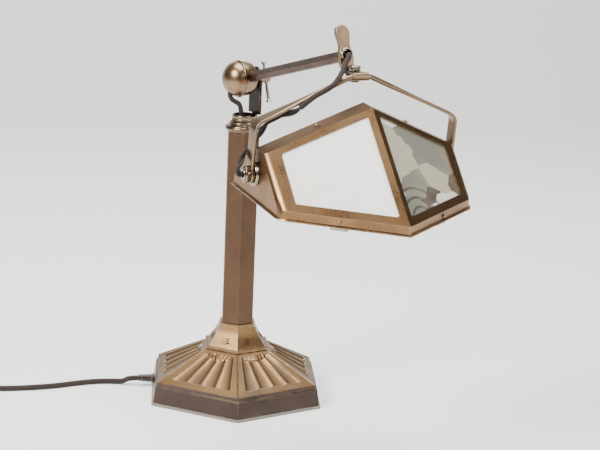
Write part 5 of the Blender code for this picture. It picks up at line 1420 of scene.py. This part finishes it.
class Pane:
    """One front face of the shade: its plane, corners and window."""

    def __init__(self, sizes: ShadeSizes, side: int) -> None:
        """Place the face.

        Args:
            sizes: The shade's sizes.
            side: -1 for the left face, 1 for the right one.
        """
        end = side * sizes.half
        places = ((end, -sizes.front, sizes.fascia), (0, -sizes.nose, sizes.fascia),
                  (0, -sizes.strip_mid, sizes.ridge_top), (end, -sizes.strip_end, sizes.end_top))
        self.corners = [Vector(place) for place in places]
        foot = self.corners[1] - self.corners[0]
        ridge = self.corners[2] - self.corners[1]
        self.normal = foot.cross(ridge).normalized()
        if self.normal.z < 0:
            self.normal = -self.normal
        self.origin = self.corners[1]
        self.along = foot.normalized() * -1
        self.up = (ridge - self.along * ridge.dot(self.along)).normalized()

    def flat(self, point: Vector) -> Vector:
        """A point's coordinates in the face."""
        offset = point - self.origin
        return Vector((offset.dot(self.along), offset.dot(self.up)))

    def lifted(self, flat: Vector, depth: float) -> Vector:
        """A point of the face, sunk inward."""
        return self.origin + self.along * flat.x + self.up * flat.y - self.normal * depth

    def inset(self, margins: Sequence[float]) -> list[Vector]:
        """The face's outline with its foot, ridge, top and end moved in.

        Args:
            margins: How far each of the four moves.

        Returns:
            The four corners in the face.
        """
        corners = [self.flat(point) for point in self.corners]
        centre = sum(corners, Vector((0, 0))) / 4
        lines = []
        for i, margin in enumerate(margins):
            a, b = corners[i], corners[(i + 1) % 4]
            way = (b - a).normalized()
            normal = Vector((-way.y, way.x))
            if (centre - a).dot(normal) < 0:
                normal = -normal
            lines.append((a + normal * margin, way))
        result = []
        for i in range(4):
            (p, d), (q, e) = lines[i - 1], lines[i]
            share = ((q.x - p.x) * e.y - (q.y - p.y) * e.x) / (d.x * e.y - d.y * e.x)
            result.append(p + d * share)
        return result

    def rounded(self, margins: Sequence[float], radius: float) -> list[Vector]:
        """The inset outline with round corners.

        Args:
            margins: How far each side moves in.
            radius: The radius of the corners.

        Returns:
            The outline's points in the face.
        """
        corners = [p.to_3d() for p in self.inset(margins)]
        result: list[Vector] = []
        for i, corner in enumerate(corners):
            result += [p.xy for p in corner_arc(corner, corners[i - 1], corners[(i + 1) % 4], radius, 5)]
        return result

    def slab(self, outline: Sequence[Vector], near: float, far: float) -> bmesh.types.BMesh:
        """A plate between two depths behind the face, with its place in the face as coordinates.

        Args:
            outline: The plate's outline in the face.
            near: Depth of its front.
            far: Depth of its back.

        Returns:
            The plate.
        """
        bm = bmesh.new()
        skin_rings(bm, [[self.lifted(p, depth) for p in outline] for depth in (near, far)], False)
        layer = bm.loops.layers.uv.verify()
        for face in bm.faces:
            for loop in face.loops:
                loop[layer].uv = self.flat(loop.vert.co)
        return bm


@dataclass(frozen=True)
class Shade:
    """Folded metal shade with two panes, fixings, pivots and washers."""

    stance: Stance
    sizes: ShadeSizes = field(default_factory=ShadeSizes)
    leg: float = 0.1024
    leg_half: float = 0.0017
    lower_seat: float = 0.54
    upper_seat: float = 0.465

    def offset(self, points: Sequence[Vector], distance: float) -> list[Vector]:
        """Move each side of a closed outline outward.

        Args:
            points: The outline's corners.
            distance: How far the sides move.

        Returns:
            The new corners.
        """
        moved_points = []
        for i, point in enumerate(points):
            before = (point - points[i - 1]).normalized()
            after = (points[(i + 1) % len(points)] - point).normalized()
            normal_a = Vector((before.y, -before.x))
            bisector = (normal_a + Vector((after.y, -after.x))).normalized()
            moved_points.append(point + bisector * (distance / bisector.dot(normal_a)))
        return moved_points

    def plan(self, sharp: Sequence[Vector], radius: float, steps: int = 10) -> list[Vector]:
        """Six corners with the two front ones rounded."""
        return [sharp[0], *corner_arc(sharp[1], sharp[0], sharp[2], radius, steps), sharp[2],
                *corner_arc(sharp[3], sharp[2], sharp[4], radius, steps), sharp[4], sharp[5]]

    def skin(self) -> bmesh.types.BMesh:
        """The shade's outer skin, open underneath.

        Returns:
            The skin, with no thickness yet.
        """
        s = self.sizes
        base = [Vector(p) for p in ((-s.half, s.back), (-s.half, -s.front), (0, -s.nose), (s.half, -s.front),
                                    (s.half, s.back), (0, s.back))]
        loops = []
        levels = [(s.rim_z, s.lip * 0.55), (s.rim_z + 0.0003, s.lip * 0.9), (s.rim_z + s.lip_high / 2, s.lip),
                  (s.rim_z + s.lip_high - 0.0002, s.lip * 0.8), (s.rim_z + s.lip_high + 0.0004, 0.0),
                  (s.fascia, 0.0)]
        for z, out in levels:
            loops.append([Vector((p.x, p.y, z)) for p in self.plan(self.offset(base, out), 0.015 + out)])
        back_end = s.strip - s.strip_end
        crown = [Vector(p) for p in ((-s.half, back_end), (-s.half, -s.strip_end), (0, -s.strip_mid),
                                     (s.half, -s.strip_end), (s.half, back_end), (0, s.strip - s.strip_mid))]
        top = [Vector((p.x, p.y, s.ridge_top - (s.ridge_top - s.end_top) * abs(p.x) / s.half))
               for p in self.plan(crown, 0.005)]
        for share in (0.2, 0.42, 0.7):
            line = []
            for low, high in zip(loops[5], top):
                point = low.lerp(high, share)
                if low.y > s.back - 0.001:
                    outward = Vector((0, high.z - low.z, low.y - high.y)).normalized()
                    point += outward * 0.0040 * math.sin(math.pi * share ** 0.8)
                line.append(point)
            loops.append(line)
        loops.append(top)
        bm = bmesh.new()
        rows = [[bm.verts.new(p) for p in loop] for loop in loops]
        count = len(top)
        for low, high in zip(rows, rows[1:]):
            for i in range(count):
                j = (i + 1) % count
                bm.faces.new((low[i], low[j], high[j], high[i]))
        crest = rows[-1]
        bm.faces.new([crest[-1], *crest[:13]])
        bm.faces.new([*crest[12:-1], crest[-1]])
        return bm

    def build(self) -> None:
        """Make the shade's pieces."""
        s = self.sizes
        at = self.stance.shade()
        item = to_mesh_object("shade_blank", self.skin())
        wall = item.modifiers.new("wall", "SOLIDIFY")
        wall.thickness = s.skin
        wall.offset = -1.0
        wall.use_even_offset = True
        settled(item)
        panes = {side: Pane(s, side) for side in (-1, 1)}
        carve(item, [pane.slab(pane.rounded(s.margins, 0.0016), -0.006, 0.005) for pane in panes.values()])
        add_piece("shade_shell", taken(item), "shade", Body.SHADE, at, ("shade_shell",), 0.00035, 32.0)
        for side, label, look in ((-1, "left", "opal"), (1, "right", "etched")):
            outline = panes[side].rounded([m - s.lap for m in s.margins], 0.002)
            pane = panes[side].slab(outline, s.skin + 0.0003, s.skin + 0.0028)
            add_piece(f"pane_{label}", pane, look, Body.SHADE, at, (f"glass_{label}",), 0.0)
            self.fixings(at, side, label)
        self.pivots(at)

    def fixings(self, at: Matrix, side: int, label: str) -> None:
        """The slotted screws of one pane.

        Args:
            at: The shade's frame.
            side: -1 for left, 1 for right.
            label: The side's name.
        """
        s = self.sizes
        way = Vector((side * s.half, s.nose - s.front, 0))
        unit = way.normalized()
        outward = Vector((unit.y * side, -abs(unit.x), 0))
        lower = Vector((0, -s.nose, 0)) + way * self.lower_seat
        lower.z = s.fascia - 0.0022 - 0.0020
        rise = (s.ridge_top - s.end_top) / s.half
        half_x = s.half * self.upper_seat
        depth = -(s.strip_end + s.strip_mid) / 2 + s.strip / 2 + 0.0018
        upper = Vector((side * half_x, depth, s.ridge_top - rise * half_x))
        upward = Vector((side * rise, 0, 1.0)).normalized()
        seats = ((f"lower_screw_{label}", lower, outward), (f"upper_screw_{label}", upper, upward))
        for name, seat, normal in seats:
            head = lathe([(0, -0.0045), (0.0012, -0.0045), (0.0012, GAP), (0.0021, GAP),
                          *arc(0.0002, 0.0001, 0.0020, 10, 80), (0, 0.0021)], 32)
            slot = prism([(-0.0030, -GAP), (0.0030, -GAP), (0.0030, GAP), (-0.0030, GAP)], 0.0013, 0.0040)
            frame_of = at @ aimed(seat, normal) @ Matrix.Rotation(math.radians(35 + 50 * side), 4, "Z")
            add_piece(name, head, "satin", Body.SHADE, frame_of, (name,), 0.0, 40.0, (slot,))

    def pivots(self, at: Matrix) -> None:
        """Washers, hollow left nut and right screw.

        Args:
            at: The shade's frame.
        """
        s = self.sizes
        low, high = s.half + GAP, self.leg - self.leg_half - GAP
        middle = (low + high) / 2
        for side, label, hole in ((-1, "left", 0.0054), (1, "right", 0.0042)):
            bm = bmesh.new()
            for a, b in ((low, middle - 0.0001), (middle + 0.0001, high)):
                ring = [(hole, a), (0.0104, a), (0.0108, a + 0.0004), (0.0108, b - 0.0004), (0.0104, b),
                        (hole, b)]
                part = lathe([(r, side * z) for r, z in ring], 56)
                data = bpy.data.meshes.new("ring")
                part.to_mesh(data)
                part.free()
                bm.from_mesh(data)
                bpy.data.meshes.remove(data)
            pair = moved(bm, ABOUT_X)
            add_piece(f"washers_{label}", pair, "nickel", Body.SHADE, at, (f"pivot_washer_{label}",), 0.0)
        out = self.leg + self.leg_half + GAP
        end = out + 0.0044
        nut = [(0.0054, -end), (0.0064, -end), *arc(0.0064, -end + 0.0014, 0.0014, -90, 0, 6), (0.0078, -out),
               (0.0054, -out)]
        add_piece("pivot_nut_left", turned(nut, 56), "collar", Body.SHADE, at, ("pivot_nut_left",), 0.0002)
        nipple = [(0.0033, -end - 0.0006), (0.0047, -end - 0.0006), (0.0050, -end - GAP), (0.0050, -0.0880),
                  (0.0033, -0.0880)]
        add_piece("pivot_nipple", turned(nipple, 40), "nickel", Body.SHADE, at, ("pivot_nipple",), 0.0)
        screw = [(0, 0.0890), (0.0038, 0.0890), (0.0038, out), (0.0078, out), (0.0078, end - 0.0014),
                 *arc(0.0064, end - 0.0014, 0.0014, 0, 90, 6), (0, end)]
        screw_bm = turned(screw, 56)
        add_piece("pivot_screw_right", screw_bm, "collar", Body.SHADE, at, ("pivot_screw_right",), 0.0)


# ---------------------------------------------------------------- cords
@dataclass(frozen=True)
class Leads:
    """The mains lead with its coil and plug, the jumper and the shade's lead."""

    stance: Stance
    radius: float = 0.00275
    flex: float = 0.0025
    exit: tuple[float, float, float] = (-0.0990, 0.0145, 0.0083)
    coil: tuple[float, float] = (-0.3080, 0.0300)
    coil_out: float = 0.0437
    coil_in: float = 0.0227
    table: float = 0.00285
    lift: float = 0.0057
    turns_in: float = 3.5
    turns_up: float = 1 / 6
    turns_out: float = 3.7083
    strand: float = 0.0014
    lay: float = 0.034
    step: float = 0.0011

    def mains_path(self) -> list[Vector]:
        """The whole mains lead, from the foot to the plug.

        Returns:
            The lead's centre line.
        """
        t = self.table
        x0, y0, z0 = -0.10315, self.exit[1], self.exit[2]
        route = [Vector(p) for p in (
            (x0, y0, z0), (x0 - 0.010, y0 + 0.0004, z0 - 0.0014), (-0.1200, 0.0165, 0.0036),
            (-0.1350, 0.0178, t), (-0.1520, 0.0150, t), (-0.1700, 0.0080, t), (-0.1900, -0.0010, t),
            (-0.2150, -0.0085, t), (-0.2420, -0.0130, t), (-0.2720, -0.0138, t), (-0.2900, -0.0139, t))]
        cx, cy = self.coil
        gap = self.coil_out - self.coil_in
        inward, climb, outward = self.turns_in, self.turns_up, self.turns_out
        total = inward + climb + outward
        steps = int(total * 72)
        for i in range(steps + 1):
            turn = total * i / steps
            if turn < inward:
                r, z = self.coil_out - gap * turn / inward, t
            elif turn < inward + climb:
                share = (turn - inward) / climb
                r, z = self.coil_in, t + self.lift * share * share * (3 - 2 * share)
            else:
                share = min((turn - inward - climb) / outward, 1.0)
                r, z = self.coil_in + gap * share, t + self.lift
            angle = -math.pi / 2 - 2 * math.pi * turn
            route.append(Vector((cx + r * math.cos(angle), cy + r * math.sin(angle), z)))
        last = route[-1]
        route += [last + Vector((0.0085, 0.0085, 0.0010)), Vector((cx - 0.0150, cy + 0.0522, 0.0108)),
                  Vector((cx - 0.0081, cy + 0.05325, 0.0110))]
        return smooth_route(route, 0.0016)

    def build(self) -> None:
        """Make every lead."""
        path = self.mains_path()
        lead = add_piece("mains_lead", tube(bmesh.new(), path, self.radius, 12), "textile", Body.FOOT,
                         replaces=("mains_lead", "mains_coil", "plug_lead"), edge=0.0)
        plug = self.plug()
        self.grommet()
        self.tie()
        self.jumper()
        self.shade_lead()

    def grommet(self) -> None:
        """Tapered strain relief with rings."""
        wall_x = 0.5 * (0.0970 + 0.0997) * math.cos(math.pi / 6)
        end = 0.1030
        profile = [(0.0031, wall_x - 0.006), (0.0037, wall_x - 0.006), (0.0037, wall_x + 0.0012),
                   (0.0046, wall_x + 0.0016), (0.0046, wall_x + 0.0030)]
        start = wall_x + 0.0034
        for k in range(5):
            share = k / 5
            z = start + (end - start) * share
            r = 0.0044 - 0.0008 * share
            profile += [(r, z), (r, z + 0.0014), (r - 0.0005, z + 0.0017), (r - 0.0005, z + 0.0022)]
        profile += [(0.0034, end), (0.0031, end)]
        at = aimed((0, self.exit[1], self.exit[2]), (-1, 0, 0))
        add_piece("strain_relief", lathe(profile, 32), "bakelite", Body.FOOT, at, ("cord_grommet",), 0.0)

    def tie(self) -> None:
        """Band round the coil."""
        room, band = 0.0032, 0.001
        inside, outside, top = self.coil_in - room, self.coil_out + room, self.table + self.lift + room
        inner = ((inside, 0.0001), (outside, 0.0001), (outside, top), (inside, top))
        near, far, crest = inside - band, outside + band, top + band
        outer = ((near, 0.0), (far, 0.0), (far, crest), (near, crest))
        bm = bmesh.new()
        rings = [[Vector((x, y, z)) for x, z in loop] for y in (-0.003, 0.003) for loop in (inner, outer)]
        skin_rings(bm, [rings[0], rings[1], rings[3], rings[2]], True)
        place = Matrix.Translation((*self.coil, 0.0))
        add_piece("coil_tie", bm, "bakelite", Body.FOOT, place, ("coil_tie",), 0.0002)

    def plug(self) -> bpy.types.Object:
        """Two-pin plug beside the coil, with its grip rings and pins.

        Returns:
            The plug's body.
        """
        at = aimed((self.coil[0] - 0.0075, self.coil[1] + 0.05325, 0.0110), (1, 0, 0))
        profile = [(0.0029, 0.0), (0.0050, 0.0), (0.0055, 0.0086), *arc(0.0085, 0.0160, 0.0016, 150, 90, 4)]
        for k in range(4):
            z = 0.0200 + 0.0028 * k
            profile += [(0.0110, z), (0.0110, z + 0.0014), (0.0105, z + 0.0018), (0.0105, z + 0.0024)]
        profile += [(0.0110, 0.0316), (0.0110, 0.0330), (0.0100, 0.0340), (0.0029, 0.0340)]
        body = add_piece("plug_body", lathe(profile, 48), "bakelite", Body.FOOT, at, ("mains_plug",), 0.0002)
        for index, side in enumerate((-1, 1)):
            pin = lathe([(0, 0), (0.002, 0), (0.002, 0.0172), *arc(0.0004, 0.0174, 0.0016, 0, 80, 6),
                         (0, 0.019)], 24)
            spot = at @ Matrix.Translation((0, side * 0.0078, 0.0343))
            name = f"plug_pin_{index + 1}"
            add_piece(name, pin, "nickel", Body.FOOT, spot, (name,), 0.0)
        return body

    def bent(self, name: str, path: Sequence[Vector], bodies: tuple[Body, Body],
             replaces: Sequence[str]) -> None:
        """A length of cord between two bodies, baked in place and riding on neither.

        Args:
            name: The piece's name.
            path: Its centre line.
            bodies: The bodies at its two ends; only the first is read, for the log.
            replaces: CAD nodes that it stands for.
        """
        shape = tube(bmesh.new(), path, self.flex, 12)
        item = add_piece(name, shape, "textile", bodies[0], replaces=replaces, edge=0.0, ride=False)
        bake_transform(item)

    def jumper(self) -> None:
        """Cord from the collar up into the dome."""
        top, ball = 0.2995, self.stance.ball_height
        points = [(0, 0.2911), (-0.0004, 0.2937), (-0.0024, top - 0.0019), (-0.0038, top + 0.0020),
                  (-0.0046, top + 0.0061), (-0.0064, top + 0.0103), (-0.0104, top + 0.0130),
                  (-0.0150, top + 0.0160), (-0.0171, top + 0.0198), (-0.0174, ball - 0.0125),
                  (-0.0174, ball - 0.0080)]
        at = self.stance.stem()
        path = smooth_route([at @ Vector((x, 0, z)) for x, z in points], 0.0010)
        self.bent("jumper", path, (Body.STEM, Body.ARM), ("lead_jumper",))

    def shade_lead(self) -> None:
        """Lead from the arm's head along the yoke and into the hollow pivot."""
        at = self.stance.yoke()
        arm = at.inverted() @ self.stance.arm()
        front = -0.2080
        side = self.stance.arm_side
        points = [arm @ Vector((side, front + 0.0040, 0.0002)), arm @ Vector((side, front - 0.0003, 0.0)),
                  arm @ Vector((side - 0.0012, front - 0.0052, -0.0006))]
        points += [Vector(p) for p in (
            (-0.0065, 0.0185, 0.0100), (-0.0108, 0.0135, 0.0065), (-0.0145, 0.0085, 0.0036),
            (-0.0180, 0.0040, 0.0024), (-0.0212, 0.0000, 0.0010), (-0.0253, -0.0039, -0.0014),
            (-0.0300, -0.0068, -0.0048), (-0.0375, -0.0078, -0.0092), (-0.0480, -0.0076, -0.0148),
            (-0.0570, -0.0074, -0.0216), (-0.0640, -0.0048, -0.0286), (-0.0730, -0.0005, -0.0336),
            (-0.0810, 0.0035, -0.0374), (-0.0870, 0.0065, -0.0435), (-0.0909, 0.0092, -0.0527),
            (-0.0942, 0.0108, -0.0600), (-0.0988, 0.0112, -0.0655), (-0.1045, 0.0101, -0.0695),
            (-0.1088, 0.0062, -0.0756), (-0.1120, 0.0026, -0.0800), (-0.1142, 0.0006, -0.0842),
            (-0.1134, 0.0000, -0.0878), (-0.1095, 0.0000, -0.0888), (-0.1060, 0.0000, -0.0888))]
        path = [at @ p for p in smooth_route(points, self.step)]

        def nearest(point: tuple[float, float, float]) -> int:
            """Index of the path's point nearest to one in the yoke's frame."""
            goal = at @ Vector(point)
            return min(range(len(path)), key=lambda i: (path[i] - goal).length)

        first, second = nearest((-0.0145, 0.0085, 0.0036)), nearest((-0.0570, -0.0074, -0.0216))
        self.bent("shade_lead_top", path[:first + 1], (Body.ARM, Body.HEAD_CLAMP),
                  ("lead_yoke",))
        middle = path[first:second + 1]
        self.bent("shade_lead_upper", middle, (Body.HEAD_CLAMP, Body.YOKE), ())
        lower = path[second:]
        twist = bmesh.new()
        frames = path_frames(lower)
        for phase in (0.0, math.pi):
            strand = []
            for i, (point, (u, v)) in enumerate(zip(lower, frames)):
                spread = self.strand * min(1.0, i / 8)
                angle = phase + i * self.step / self.lay * 2 * math.pi
                strand.append(point + (u * math.cos(angle) + v * math.sin(angle)) * spread)
            tube(twist, strand, self.strand, 10)
        add_piece("shade_lead_twist", twist, "textile", Body.YOKE, edge=0.0)
        sleeve = tube(bmesh.new(), lower[:6], self.flex + 0.0001, 14)
        add_piece("shade_lead_sleeve", sleeve, "textile", Body.YOKE, edge=0.0)


# ---------------------------------------------------------------- plain pieces and the whole lamp
PLAIN_LOOKS = {
    "steel": ("bottom_plate", "tie_tube", "tie_nut_lower", "tie_nut_upper", "clamp_nut", "lower_clamp_left",
              "lower_clamp_right", "upper_clamp_left", "upper_clamp_right", "pivot_nut_right", "bulb_cap"),
    "iron": ("base_weight",),
    "ceramic": ("terminal_block",),
    "bakelite": ("lampholder_body", "lampholder_ring"),
    "bulb": ("bulb_glass",),
    "textile": ("lead_inner", "lead_arm"),
}


def dress_plain() -> None:
    """Give the frame's own pieces, most of them inside the lamp, their finishes."""
    for look, names in PLAIN_LOOKS.items():
        for name in names:
            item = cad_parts[name]
            item.data.materials.clear()
            item.data.materials.append(finish(look))


def main() -> None:
    """Build the camera, studio and lamp."""
    logging.basicConfig(level=logging.INFO)
    stance = Stance()
    Viewpoint().build()
    build_studio()
    for part in (Foot(), Column(), Stem(stance), Arm(stance), YokeClamp(stance), Yoke(stance), Shade(stance),
                 Leads(stance)):
        LOG.info("building %s", type(part).__name__)
        part.build()
    dress_plain()


if __name__ == "__main__":
    main()
